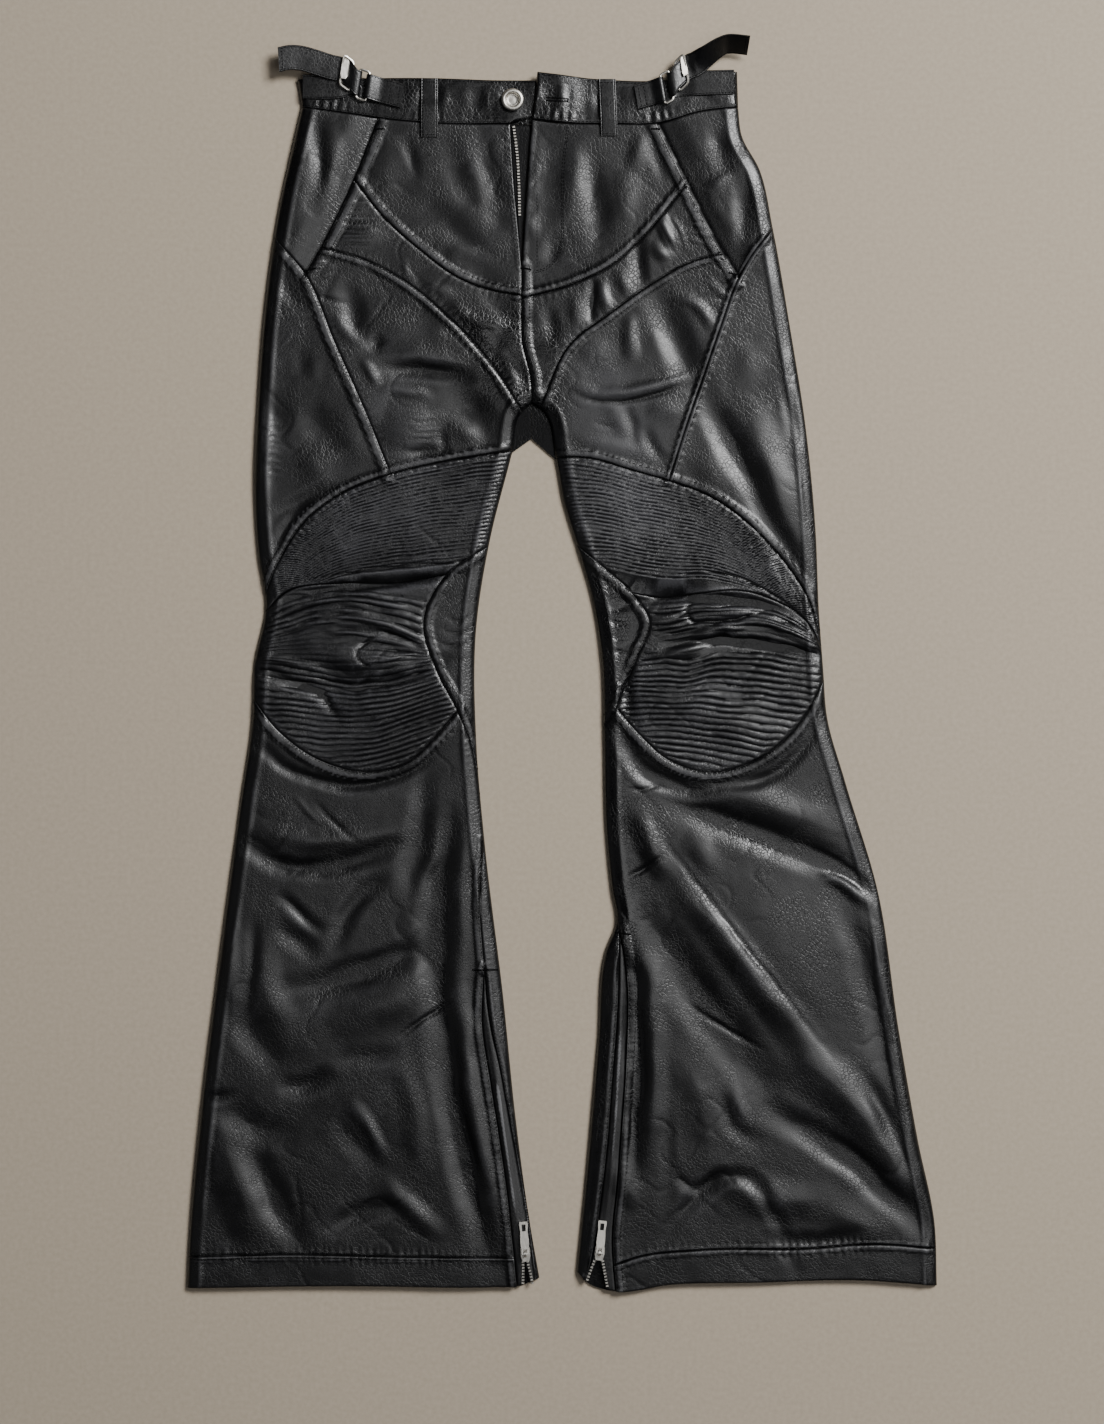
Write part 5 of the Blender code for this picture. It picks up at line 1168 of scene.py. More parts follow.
@dataclass(frozen=True)
class CoatedCloth:
    """Cotton with a polyurethane skin pressed on: half gloss black, crackled, rubbed grey on the ridges.

    Sizes are in millimetres. The real grain is about 0.6 mm and wouldn't show, so it is drawn at twice that.
    """

    name: str = "polyurethane_coated_cotton"
    slot: str = "coated_cloth"
    black: str = "#050506"
    body: str = "#0b0b0c"
    rubbed: str = "#2e2e30"
    roughness: float = 0.34
    grain: float = 1.4
    crackle: float = 3.4
    crackle_depth: float = 0.12
    grain_depth: float = 0.1
    shine: float = 0.5

    def material(self) -> bpy.types.Material:
        """Makes the material once."""
        made = bpy.data.materials.get(self.name)
        if made:
            return made
        material, tree, shader, place = new_tree(self.name)
        spot = place.outputs["Object"]

        def noise(size: float, detail: float, where: bpy.types.NodeSocket = spot) -> bpy.types.Node:
            """Noise with features of a size in millimetres."""
            return add_node(tree, "ShaderNodeTexNoise", {"Scale": per_metre(size), "Detail": detail}, {"Vector": where})

        def remap(
            value: bpy.types.NodeSocket, low: float, high: float, to_low: float, to_high: float,
        ) -> bpy.types.NodeSocket:
            """A value moved from one span to another."""
            spans = {"From Min": low, "From Max": high, "To Min": to_low, "To Max": to_high}
            return add_node(tree, "ShaderNodeMapRange", spans, {"Value": value}).outputs[0]

        def combine(way: str, first: bpy.types.NodeSocket, second: bpy.types.NodeSocket) -> bpy.types.NodeSocket:
            """Two values added or multiplied."""
            return add_node(tree, "ShaderNodeMath", {"operation": way}, {0: first, 1: second}).outputs[0]

        bent = add_node(
            tree, "ShaderNodeVectorMath", {"operation": "MULTIPLY_ADD", 1: (0.003,) * 3},
            {0: noise(8, 1).outputs["Color"], 2: spot},
        ).outputs[0]
        cells = add_node(
            tree, "ShaderNodeTexVoronoi", {"feature": "DISTANCE_TO_EDGE", "Scale": per_metre(self.crackle)},
            {"Vector": bent},
        )
        cracks = remap(cells.outputs["Distance"], 0, 0.14, 1, 0)
        crazed = combine("MULTIPLY", cracks, remap(noise(24, 2).outputs["Fac"], 0.4, 0.62, 0.15, 1))
        grain = noise(self.grain, 3).outputs["Fac"]
        # The marks bring in wear and painted shade: low values paint the cloth black.
        marks = add_node(tree, "ShaderNodeAttribute", {"attribute_name": "rubbed"}).outputs["Fac"]
        clouds = noise(46, 4).outputs["Fac"]
        wear_and_shade = combine("ADD", remap(clouds, 0.3, 0.7, -0.45, 0.45), marks)
        wear_and_shade = combine("ADD", wear_and_shade, remap(grain, 0.3, 0.7, -0.15, 0.2))
        wear_and_shade = combine("ADD", wear_and_shade, remap(crazed, 0, 1, 0.1, -0.7))
        tone = add_node(tree, "ShaderNodeValToRGB", {}, {"Fac": remap(wear_and_shade, -1, 1.2, 0, 1)})
        ramp = tone.color_ramp
        ramp.elements[0].position, ramp.elements[0].color = 0.2, linear(self.black)
        ramp.elements[1].position, ramp.elements[1].color = 1.0, linear(self.rubbed)
        ramp.elements.new(0.55).color = linear(self.body)
        gloss = remap(grain, 0.3, 0.7, self.roughness - 0.03, self.roughness + 0.05)
        gloss = combine("ADD", gloss, remap(clouds, 0.3, 0.7, 0.06, -0.04))
        gloss = combine("ADD", gloss, remap(marks, -2, 0, -0.13, 0))
        gloss = combine("ADD", gloss, remap(marks, 0, 1, 0, 0.1))
        gloss = combine("ADD", gloss, remap(marks, UNCOATED, UNCOATED / 2, 0.5, 0))
        gloss = combine("ADD", gloss, remap(crazed, 0, 1, 0, 0.2))
        low = add_node(
            tree, "ShaderNodeBump", {"Distance": self.crackle_depth * MM}, {"Height": remap(crazed, 0, 1, 1, 0)}
        )
        fine = add_node(
            tree, "ShaderNodeBump", {"Distance": self.grain_depth * MM}, {"Height": grain, "Normal": low.outputs[0]}
        )
        shader.inputs["IOR"].default_value = 1.5
        shader.inputs["Specular IOR Level"].default_value = self.shine
        tree.links.new(tone.outputs["Color"], shader.inputs["Base Color"])
        tree.links.new(gloss, shader.inputs["Roughness"])
        tree.links.new(fine.outputs[0], shader.inputs["Normal"])
        return material


@dataclass(frozen=True)
class Woven:
    """Polyester tape or sewing thread: spun yarn, so dull with a little sheen. The yarn size is in millimetres."""

    name: str
    slot: str
    dark: str
    light: str
    yarn: float  # larger than a real one, so that the weave shows
    roughness: float = 0.75
    shine: float = 0.2

    def material(self) -> bpy.types.Material:
        """Makes the material once."""
        made = bpy.data.materials.get(self.name)
        if made:
            return made
        material, tree, shader, place = new_tree(self.name)
        spot = place.outputs["Object"]
        scale = per_metre(self.yarn) / YARNS_PER_UNIT
        warp, weft = (
            add_node(
                tree, "ShaderNodeTexWave", {"bands_direction": way, "Scale": scale, "Distortion": 0.6},
                {"Vector": spot},
            ) for way in ("X", "Y")
        )
        over = add_node(
            tree, "ShaderNodeMath", {"operation": "MULTIPLY"}, {0: warp.outputs["Fac"], 1: weft.outputs["Fac"]},
        )
        tone = add_node(
            tree, "ShaderNodeMix", {"data_type": "RGBA", 6: linear(self.dark), 7: linear(self.light)},
            {0: over.outputs[0]},
        )
        bump = add_node(tree, "ShaderNodeBump", {"Distance": 0.1 * MM}, {"Height": over.outputs[0]})
        shader.inputs["Roughness"].default_value = self.roughness
        shader.inputs["Specular IOR Level"].default_value = self.shine
        tree.links.new(tone.outputs[2], shader.inputs["Base Color"])
        tree.links.new(bump.outputs[0], shader.inputs["Normal"])
        return material


@dataclass(frozen=True)
class PlatedMetal:
    """Zinc or brass castings, tumbled and nickel plated: a warm bright grey with fine handling scratches."""

    name: str = "nickel_plate"
    slot: str = "nickel"
    bright: str = "#e2ded6"
    dull: str = "#a5a29b"
    scratch: float = 1.6

    def material(self) -> bpy.types.Material:
        """Makes the material once."""
        made = bpy.data.materials.get(self.name)
        if made:
            return made
        material, tree, shader, place = new_tree(self.name)
        spot = place.outputs["Object"]
        stretched = add_node(tree, "ShaderNodeMapping", {"Scale": (1.0, 0.25, 1.0)}, {"Vector": spot})
        scratches = add_node(
            tree, "ShaderNodeTexNoise", {"Scale": per_metre(self.scratch), "Detail": 5.0},
            {"Vector": stretched.outputs[0]},
        )
        tone = add_node(
            tree, "ShaderNodeMix", {"data_type": "RGBA", 6: linear(self.dull), 7: linear(self.bright)},
            {0: scratches.outputs["Fac"]},
        )
        gloss = add_node(
            tree, "ShaderNodeMapRange", {"To Min": 0.28, "To Max": 0.55}, {"Value": scratches.outputs["Fac"]}
        )
        bump = add_node(tree, "ShaderNodeBump", {"Distance": 0.03 * MM}, {"Height": scratches.outputs["Fac"]})
        shader.inputs["Metallic"].default_value = 1.0
        tree.links.new(tone.outputs[2], shader.inputs["Base Color"])
        tree.links.new(gloss.outputs[0], shader.inputs["Roughness"])
        tree.links.new(bump.outputs[0], shader.inputs["Normal"])
        return material


class Finish(Enum):
    """What each piece is made of."""

    CLOTH = CoatedCloth()
    # The ribs' tops are rubbed first, which makes these panels a little greyer
    RIBBED = CoatedCloth(
        name="polyurethane_coated_cotton_ribbed", slot="coated_cloth_ribbed", body="#111113", rubbed="#38383b",
        crackle_depth=0.08,
    )
    # The back and the fly shield aren't rubbed; this copy, with a darker grey, more roughness and little shine, is also
    # painted shade, so that they show as an even black in the gaps
    UNDER = CoatedCloth(
        name="polyurethane_coated_cotton_under", slot="coated_cloth_under", rubbed="#232324", roughness=0.42,
        shine=0.15,
    )
    # Pressed harder, so smoother and blacker
    STRAP = CoatedCloth(
        name="polyurethane_coated_strap", slot="coated_cloth", body="#040405", rubbed="#262627", crackle_depth=0.05,
        roughness=0.32,
    )
    # Its cord is rubbed almost bare
    COATED_TAPE = CoatedCloth(
        name="polyurethane_coated_zip_tape", slot="zip_tape", body="#050506", rubbed="#5a5a5c", crackle_depth=0.04,
        roughness=0.4,
    )
    TAPE = Woven("polyester_zip_tape", "zip_tape", "#060607", "#161617", 0.9)
    THREAD = Woven("polyester_thread", "coated_cloth", "#060607", "#141415", 0.35, 0.85, 0.04)
    METAL = PlatedMetal()

    @property
    def slot(self) -> str:
        """The record's material slot."""
        return self.value.slot

    def material(self) -> bpy.types.Material:
        """The finish's material."""
        return self.value.material()


@dataclass
class Front:
    """The cut pieces of the front, from the waist seam to the hems."""

    relief: Relief

    def leg_layer(self) -> Layer:
        """The layer that most pieces share."""
        return Layer(self.relief.height, self.relief.base, ROLL, OUTLINES, edge_line=EDGE_LINE, wear_and_shade=self.relief.wear_and_shade)

    def hip_layer(self, side: str) -> Layer:
        """The hip panel's layer, which sinks towards the pocket mouth and runs on under the front."""
        route = curve(side, "pocket")
        below = -1 if side == "right" else 1

        def sunk(full: Callable[[Points], np.ndarray]) -> Callable[[Points], np.ndarray]:
            """What gives the height that sinks towards the mouth, from what gives the full height."""

            def height(points: Points) -> np.ndarray:
                """The sunk height."""
                found = beside(points, route, POCKET_RUN)
                over = found.offset * below < 0
                share = np.where(np.isinf(found.distance), 1, smooth_step(found.distance / POCKET_RUN))
                share = np.where(over & np.isfinite(found.distance), 0, share)
                dip = POCKET_DIP * np.exp(-((found.distance / POCKET_GAP) ** 2)) * ~over
                return POCKET_BED + (full(points) - POCKET_BED) * share - dip

            return height

        def wear_and_shade(points: Points) -> np.ndarray:
            """Rubbed at the seams, and painted dark in the mouth as the shadow under the front panel's edge."""
            away = np.minimum(beside(points, route, POCKET_RUN).distance, 99)
            return self.relief.wear_and_shade(points) - POCKET_SHADE * np.exp(-((away / POCKET_GAP) ** 2))

        full, base = self.relief.height, self.relief.base
        return Layer(sunk(full), sunk(base), ROLL, OUTLINES, edge_line=EDGE_LINE, wear_and_shade=wear_and_shade)

    def tape_layer(self) -> Layer:
        """The zip tapes' layer, with a rubbed cord along the middle of each."""
        cords = [(cord, fold_route(cord)) for cord in PIPING.values()]

        def under(points: Points) -> np.ndarray:
            """The tape without its cord."""
            return self.relief.base(points) - TAPE_DROP

        def corded(points: Points) -> np.ndarray:
            """The tape with it."""
            return under(points) + self.relief.risen(points, cords)

        def wear_and_shade(points: Points) -> np.ndarray:
            """Rubbed in patches along the cord."""
            patchy = np.clip(1.4 + 2.4 * ripple(points, 24, 26), 0, 2.6)
            return self.relief.risen(points, cords) * patchy - 1.0

        return Layer(corded, under, ROLL, OUTLINES, wall=TAPE_WALL, wear_and_shade=wear_and_shade)

    def build(self) -> None:
        """Makes every piece."""
        for name, polygon in front_pieces().items():
            side = name.rsplit("_", 1)[1]
            layer, finish, gaps = self.leg_layer(), Finish.CLOTH, SEAM_GAP / 2
            points = raised = None
            if name.startswith("hip_side"):
                layer, gaps = self.hip_layer(side), pocket_gaps(polygon, side)
            if name.startswith("ankle_zip_tape"):
                layer, finish = self.tape_layer(), Finish.COATED_TAPE
            outline = inset(polygon, gaps)
            if name in RIB_FIELDS:
                finish = Finish.RIBBED
                points, raised = rib_points(RIB_FIELDS[name], outline)
            shell(name, outline, layer, finish, points, raised)


def pocket_gaps(polygon: Points, side: str) -> np.ndarray:
    """Inset of each edge of the hip panel: half a seam gap, but out under the front at the pocket."""
    route = curve(side, "pocket")
    middles = (polygon + np.roll(polygon, -1, axis=0)) / 2
    on_route = beside(middles, route, 2).distance < 0.5
    ends = beside(polygon, route, 2).distance < 0.5
    return np.where(on_route & ends & np.roll(ends, -1), -POCKET_REACH, SEAM_GAP / 2)


def rib_points(field: RibField, polygon: Points) -> tuple[Points, np.ndarray]:
    """Points along the ribs of a panel.

    Args:
        field: the ribs.
        polygon: the panel's plan.

    Returns:
        The points inside the panel and how far each is raised.
    """
    points, raised = [], []
    steps = max(len(spline(guide, 2.4)) for guide in field.guides)
    guides = []
    for guide in field.guides:
        fine = spline(guide, 1)
        guides.append(fine[np.linspace(0, len(fine) - 1, steps).round().astype(int)])
    for upper, lower, count, rise in zip(guides, guides[1:], field.counts, field.rises):
        for rib in range(count):
            for row in RIB_ROWS:
                line = upper + (lower - upper) * (rib + row) / count
                sway = 0.3 * np.linalg.norm(lower - upper, axis=1) / count * ripple(line, 22, 40)
                line = line + np.column_stack([0 * sway, sway])
                points.append(line)
                uneven = 0.85 + 0.45 * ripple(line, 22, 41 + rib % 5) + 0.3 * ripple(line, 5, 46)
                raised.append(rise * (math.sin(math.pi * row) ** 0.8 - 0.35) * uneven)
    points, raised = np.vstack(points), np.concatenate(raised)
    _, apart = np.unique(np.round(points / RIB_APART).astype(int), axis=0, return_index=True)
    points, raised = points[apart], raised[apart]
    kept = inside(points, polygon)
    points, raised = points[kept], raised[kept]
    away = beside(points, closed(polygon), 8).distance
    kept = away > 0.9
    fade = smooth_step(np.minimum(away[kept], 8) / 5)
    return points[kept], raised[kept] * fade


@dataclass
class Waistband:
    """The doubled waistband: two front halves, the left over the right, and the back half under them."""

    pucker: float = 0.4
    wave: float = 0.9

    def bulges(self, points: Points) -> np.ndarray:
        """Small upright puckers just over the waist seam, and waves along the top edge."""
        lift = np.zeros(len(points))
        for side in ("right", "left"):
            found = beside(points, curve(side, "waist"), 34)
            near = np.isfinite(found.distance)
            run = np.column_stack([found.run, 0 * found.run])
            phase = found.run + 2.5 * ripple(run, 12, 51)
            patchy = np.clip(0.4 + 1.6 * ripple(run, 27, 56), 0.1, 1.2)
            low = np.exp(-(((found.distance - 5) / 5.5) ** 2)) * patchy
            low *= self.pucker * np.sin(2 * math.pi * phase / 8.3)
            broad = np.exp(-(((found.distance - 22) / 11) ** 2)) * self.wave * ripple(run, 9, 52)
            lift += np.where(near, low + broad, 0)
            for row in BAND_STITCHES:
                lift -= np.where(near, 0.3 * np.clip(1 - np.abs(found.distance - row) / 0.9, 0, 1), 0)
        return lift + 0.2 * ripple(points, 21, 53) + 0.08 * ripple(points, 6, 54)

    def right_height(self, points: Points) -> np.ndarray:
        """The right half's outer face."""
        return BAND_FLAT + self.bulges(points)

    def left_height(self, points: Points) -> np.ndarray:
        """The left half's outer face, which rises to lap over the right."""
        return self.right_height(points) + lap_rise(points)

    def build(self) -> None:
        """Makes the three pieces."""
        right = np.vstack([curve("right", "waist"), BUTTON_END, spline(BAND_TOP["right"], CURVE_STEP)[::-1]])
        left = np.vstack([curve("left", "waist"), spline(BAND_TOP["left"], CURVE_STEP)[::-1]])
        for side, polygon, height in (("right", right, self.right_height), ("left", left, self.left_height)):
            rise = lap_rise if side == "left" else (lambda points: np.zeros(len(points)))
            layer = Layer(
                height, lambda points, rise=rise: BAND_FLAT - 0.4 + rise(points), BAND_ROLL, BAND_SIDES,
                wear_and_shade=lambda points: 0.5 * ripple(points, 22, 55) - 0.9,
            )
            outline = inset(polygon, SEAM_GAP / 2)
            shell(f"waistband_{side}", outline, layer, Finish.CLOTH, step=BAND_GRID)


def lap_rise(points: Points) -> np.ndarray:
    """How far the left half of the band is lifted by the right half under it."""
    return BAND_LAP * smooth_step((LAP_FROM - points[:, 0]) / (LAP_FROM - LAP_TO))


@dataclass
class Backs:
    """The back layer: each leg from waist to hem and the back of the waistband. Flat where it lies."""

    groove: float = 0.5
    rows: tuple[float, ...] = (0.0, 6.5)
    reach: float = 1.4
    edge: float = 1.7

    def seams(self) -> list[Points]:
        """The seams sewn into the back: the yokes, the seat and a line behind each knee."""
        lines = [
            ((-230, 450), (-130, 428), (-27, 408)), ((-27, 408), (60, 428), (160, 450)), CENTRE_BACK,
            ((-268, 60), (-170, 46), (-78, 60)), ((230, 60), (130, 46), (26, 60)),
            ((-272, -20), (-170, -34), (-76, -20)), ((232, -20), (130, -34), (34, -20)),
            ((-333, -527), (-188, -525), (-24, -527)), ((16, -521), (170, -521), (334, -521)),
        ]
        return [spline(line, 4) for line in lines]

    def underside(self, points: Points, polygon: Points) -> np.ndarray:
        """Height of the lower face: on the surface, rounded up at the edge, with a groove at each seam."""
        away = np.minimum(beside(points, closed(polygon), 2).distance, self.edge)
        height = self.edge * (1 - np.sqrt(1 - (1 - away / self.edge) ** 2))
        for route in self.seams():
            found = beside(points, route, 10)
            for row in self.rows:
                gap = np.abs(found.offset - row) + np.where(np.isfinite(found.distance), 0, 99)
                height = np.maximum(height, self.groove * np.clip(1 - gap / self.reach, 0, 1))
        return height

    def plate(self, name: str, polygon: Points, finish: Finish) -> None:
        """One flat layer."""
        outline = inset(polygon, SEAM_GAP / 2)
        rows = np.vstack([inset(outline, gap) for gap in (0.5, 1.1, 1.9)])
        rows = rows[inside(rows, outline)]
        gaps = [row + by for row in self.rows for by in (-self.reach, 0, self.reach)]
        lines = np.vstack([route + turned(route) * gap for route in self.seams() for gap in gaps])
        lines = lines[inside(lines, outline)]
        lines = lines[beside(lines, closed(outline), 3).distance > 2.5]
        body = thinned(np.vstack([rows, lines, grid(outline, BACK_GRID, 4)]), 0.5)
        flat, faces, rim, _ = filled(outline, body)
        upper_flat, upper_faces, upper_rim, _ = filled(outline, grid(outline, BACK_GRID, 4))
        lower = np.column_stack([flat, self.underside(flat, outline)])
        upper = np.column_stack([upper_flat, np.full(len(upper_flat), BACK_TOP)])
        mesh = Mesh()
        mesh.add(upper, upper_faces)
        shift = mesh.add(lower, faces[:, ::-1])
        mesh.wall(upper_rim, shift + rim)
        # The upper face shows only in the gaps between the front pieces, and is painted black there as shade.
        marks = np.concatenate([np.full(len(upper), UNDERLAID_SHADE), np.zeros(len(lower))])
        obj = mesh.place(f"cloth_{name}", finish, marks, 40)
        declare(obj, outline, area_of(upper, upper_faces))
        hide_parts(name)

    def build(self) -> None:
        """Makes the legs' backs and the band's."""
        waist = spline(WAIST_BACK, CURVE_STEP)
        split = CENTRE_BACK[0][0]
        centre = spline(CENTRE_BACK, CURVE_STEP)
        for side, keep in (("right", waist[:, 0] < split), ("left", waist[:, 0] > split)):
            inner = curve(side, "inner")
            inner = np.vstack([[BACK_CROTCH[side]], inner[inner[:, 1] < BACK_CROTCH[side][1] - CURVE_STEP]])
            hem, outer = curve(side, "hem"), curve(side, "outer")
            if side == "right":
                loop = [waist[keep][:0:-1], outer, hem[1:-1], inner[::-1], centre[::-1]]
            else:
                loop = [waist[keep][-2::-1], centre, inner, hem[1:-1], outer[::-1]]
            self.plate(f"leg_back_{side}", spaced(np.vstack(loop)), Finish.UNDER)
        back = np.vstack([waist, spline(BAND_BACK_TOP, CURVE_STEP)[::-1]])
        self.plate("waistband_back", back, Finish.CLOTH)


def spaced(polygon: Points) -> Points:
    """The polygon without corners that crowd the one before."""
    return polygon[np.linalg.norm(polygon - np.roll(polygon, 1, axis=0), axis=1) > MERGE / 2]


# Belt loops: foot and head, width and wall
LOOP_WIDTH, LOOP_CLOTH = 15.5, 1.4
LOOPS = {"right": ((-118, 469), (-118, 521)), "left": ((42, 470), (40, 520.5))}

# Side adjusters
STRAP_WIDTH, STRAP, TAB = 22, 1.2, 1.0
RING_WIRE, WRAP_GAP = 1.2, 0.5
WRAP = RING_WIRE + WRAP_GAP + STRAP / 2  # from a bar's axis to the middle of the strap round it
TAB_WRAP = RING_WIRE + WRAP_GAP + TAB / 2
STRAP_LOW = BAND_FLAT + SEAM_GAP + STRAP / 2
TAB_LOW = BAND_FLAT + SEAM_GAP + TAB / 2


class Bar(NamedTuple):
    """The middle of a ring's bar."""

    x: float
    y: float
    z: float


class Station(NamedTuple):
    """A place along a strap, with the turn and lean of its width from +Y, in degrees."""

    x: float
    y: float
    z: float
    turn: float
    lean: float


class Adjuster(NamedTuple):
    """A side adjuster: the sewn tab, the two bars of its front ring and the strap with its free tail."""

    toward: int
    tab_end: tuple[float, float]
    tab_bar: Bar
    front_bar: Bar
    turn: float
    run: tuple[Station, ...]
    tail: tuple[Station, ...]


ADJUSTERS = {
    "right": Adjuster(
        1,
        (-142, 505.5),
        Bar(-172.5, 513.5, TAB_LOW + TAB_WRAP),
        Bar(-181.5, 516.5, STRAP_LOW + WRAP),
        9,
        (Station(-230.5, 514, STRAP_LOW, 0, 0), Station(-200, 514, STRAP_LOW, 2, 0)),
        (
            Station(-187, 522.5, 11.6, 9, 0),
            Station(-191, 526, 10.2, 10, 0),
            Station(-195.5, 528.5, 9.1, 10, 0),
            Station(-206, 531, 9.6, 12, 0),
            Station(-219, 535, 10.8, 14, 0),
            Station(-233, 538.5, 12.4, 6, 0),
            Station(-243, 538.5, 13.8, -2, 0),
            Station(-251.5, 536.5, 14.8, -4, 0),
        ),
    ),
    "left": Adjuster(
        -1,
        (66, 504.5),
        Bar(89, 511, TAB_LOW + TAB_WRAP),
        Bar(97, 515, STRAP_LOW + WRAP),
        -10,
        (Station(153, 518, STRAP_LOW, 0, 0), Station(120, 517, STRAP_LOW, -3, 0)),
        (
            Station(102, 522, 11.6, -10, 0),
            Station(106, 526, 10.5, -10, 0),
            Station(110, 529.5, 9.4, -11, 0),
            Station(118, 533, 11, -20, 13),
            Station(128, 539.5, 14, -34, 38),
            Station(140, 547.5, 15, -20, 48),
            Station(151, 550.5, 15, 2, 50),
            Station(165.5, 549, 15, 8, 50),
        ),
    ),
}

# Flat bars of the side rings: corners, foot and top in the middle; they tilt towards the light
PLATES = {
    "right": (((-194.9, 539.2), (-188.5, 536.6), (-191.0, 519.4), (-197.4, 520.4)), 10.8, 12.8),
    "left": (((104.7, 539.8), (108.2, 541), (112.6, 525), (107.0, 521.4)), 10.8, 12.8),
}
PLATE_TILT, PLATE_CORNER = 0.17, 0.16  # slope, and the share of a side that each corner is cut by

# Fly: reach of the shield past the opening, heights, and the tape's widths at the waist and the foot
SHIELD_REACH, SHIELD_TOP, SHIELD_HEAD = 8, 4.3, 479.5
FLY_TAPE_WIDTH, FLY_TAPE_FOOT, FLY_TAPE_TOP = 7.5, 1.6, 5.9
FLY_SHARE = 0.8
J_STITCH = ((6.2, 479), (2.3, 447.6), (0.9, 400), (0.9, 380), (-3.1, 363), (-16.9, 350), (-28, 348))
J_APART = 1.6  # the J is sewn twice
FLY_LINE = ((-22.2, 419), (-22.2, 384), (-22.2, 350))
BUTTONHOLE = ((-14.2, 502.5), (4.4, 501.5))

# Teeth of the zips: where each row starts and ends, and their pitch
TEETH_ROWS = {
    "fly": ((-42.9, 478), (-39.9, 454), (-38.4, 430), (-37.6, 400)),
    "left_inner": ((28.6, -530.5), (25.4, -539), (22.6, -547)),
    "left_outer": ((36.2, -530.5), (38, -540), (40.2, -552.5)),
    "right_inner": ((-34.6, -531), (-34.6, -542), (-34.8, -550)),
    "right_outer": ((-30.6, -531), (-28.2, -541), (-26.3, -550)),
}
TEETH_PITCH = 2.8  # coarser than real, so that the teeth show
TOOTH = ((0.0, 0.8, 1.2), (1.1, 0.9, 1.3), (1.6, 0.7, 1.05))  # height, and half sizes along and across, of its rings
TOOTH_SINK = 0.15
BAR_TACKS = {
    "right_ankle": ((-80, -271.5), (-57, -271.5)),
    "left_ankle": ((47, -238), (61, -240)),
    "fly_low": ((-36.5, 353), (-27.5, 351)),
    "pocket_right_head": ((-166, 476), (-158, 476)),
    "pocket_left_head": ((79, 476), (87, 476)),
    "pocket_right_foot": ((-228, 350), (-219, 352)),
    "pocket_left_foot": ((148, 348), (157, 346)),
}


@dataclass
class Thread:
    """Sewing thread, laid as stitches on whatever it is sewn through."""

    name: str
    pitch: float = 3.2
    length: float = 2.5
    thick: float = 0.62
    within: Sequence[Points] = ()

    def __post_init__(self) -> None:
        """Starts with no stitches."""
        self.mesh = Mesh()

    def stitches(self, starts: Points, ends: Points, normals: Points) -> None:
        """Adds a stitch from each start to each end, where both are on the cloth."""
        if self.within:
            kept = np.zeros(len(starts), bool)
            for polygon in self.within:
                kept |= inside(starts[:, :2], polygon) & inside(ends[:, :2], polygon)
            starts, ends, normals = starts[kept], ends[kept], normals[kept]
        ways = ends - starts
        sides = np.cross(normals, ways)
        sides /= np.linalg.norm(sides, axis=1)[:, None]
        rings = [starts - 0.15 * normals]
        for share, size, lift in ((0.12, 0.75, 0.05), (0.5, 1.0, 0.2), (0.88, 0.75, 0.05)):
            middle = starts + ways * share + normals * lift
            for along, up in ((1, 0), (0, 1), (-1, 0), (0, -1)):
                rings.append(middle + (sides * along + normals * up) * size * self.thick / 2)
        rings.append(ends - 0.15 * normals)
        block = np.stack(rings, axis=1).reshape(-1, 3)
        faces = []
        for i in range(4):
            j = (i + 1) % 4
            faces += [(0, 1 + j, 1 + i), (13, 9 + i, 9 + j)]
            for ring in (1, 5):
                faces += [(ring + i, ring + j, ring + 4 + j), (ring + i, ring + 4 + j, ring + 4 + i)]
        every = (np.array(faces)[None] + 14 * np.arange(len(starts))[:, None, None]).reshape(-1, 3)
        self.mesh.add(block, every)

    def row(self, route: Points, normals: Points) -> None:
        """Adds a row of stitches along a line in space."""
        stops = np.concatenate([[0], np.cumsum(np.linalg.norm(np.diff(route, axis=0), axis=1))])
        at = np.arange(0.3, stops[-1] - self.length, self.pitch)
        if not len(at):
            return

        def spot(values: Points, places: np.ndarray) -> Points:
            """Values at lengths along the route."""
            return np.column_stack([np.interp(places, stops, values[:, i]) for i in range(3)])

        self.stitches(spot(route, at), spot(route, at + self.length), spot(normals, at + self.length / 2))

    def row_on(self, plan: Points, height: Callable[[Points], Points]) -> None:
        """Adds a row of stitches along a plan line over a surface."""
        route = height(plan)
        self.row(route, np.tile([0.0, 0.0, 1.0], (len(route), 1)))

    def bar_tack(self, start: tuple, end: tuple, height: Callable[[Points], Points], width: float = 2.0) -> None:
        """Adds a short dense bar of thread from start to end."""
        a, b = np.array(start, float), np.array(end, float)
        way = (b - a) / np.linalg.norm(b - a)
        side = np.array([-way[1], way[0]]) * width / 2
        at = np.arange(0, np.linalg.norm(b - a), 0.6)[:, None]
        middles = a + way * at
        up = np.tile([0.0, 0.0, 1.0], (len(at), 1))
        self.stitches(height(middles - side), height(middles + side + way * 0.3), up)

    def place(self) -> bpy.types.Object:
        """Makes the object."""
        return self.mesh.place(self.name, Finish.THREAD, sharp=None)


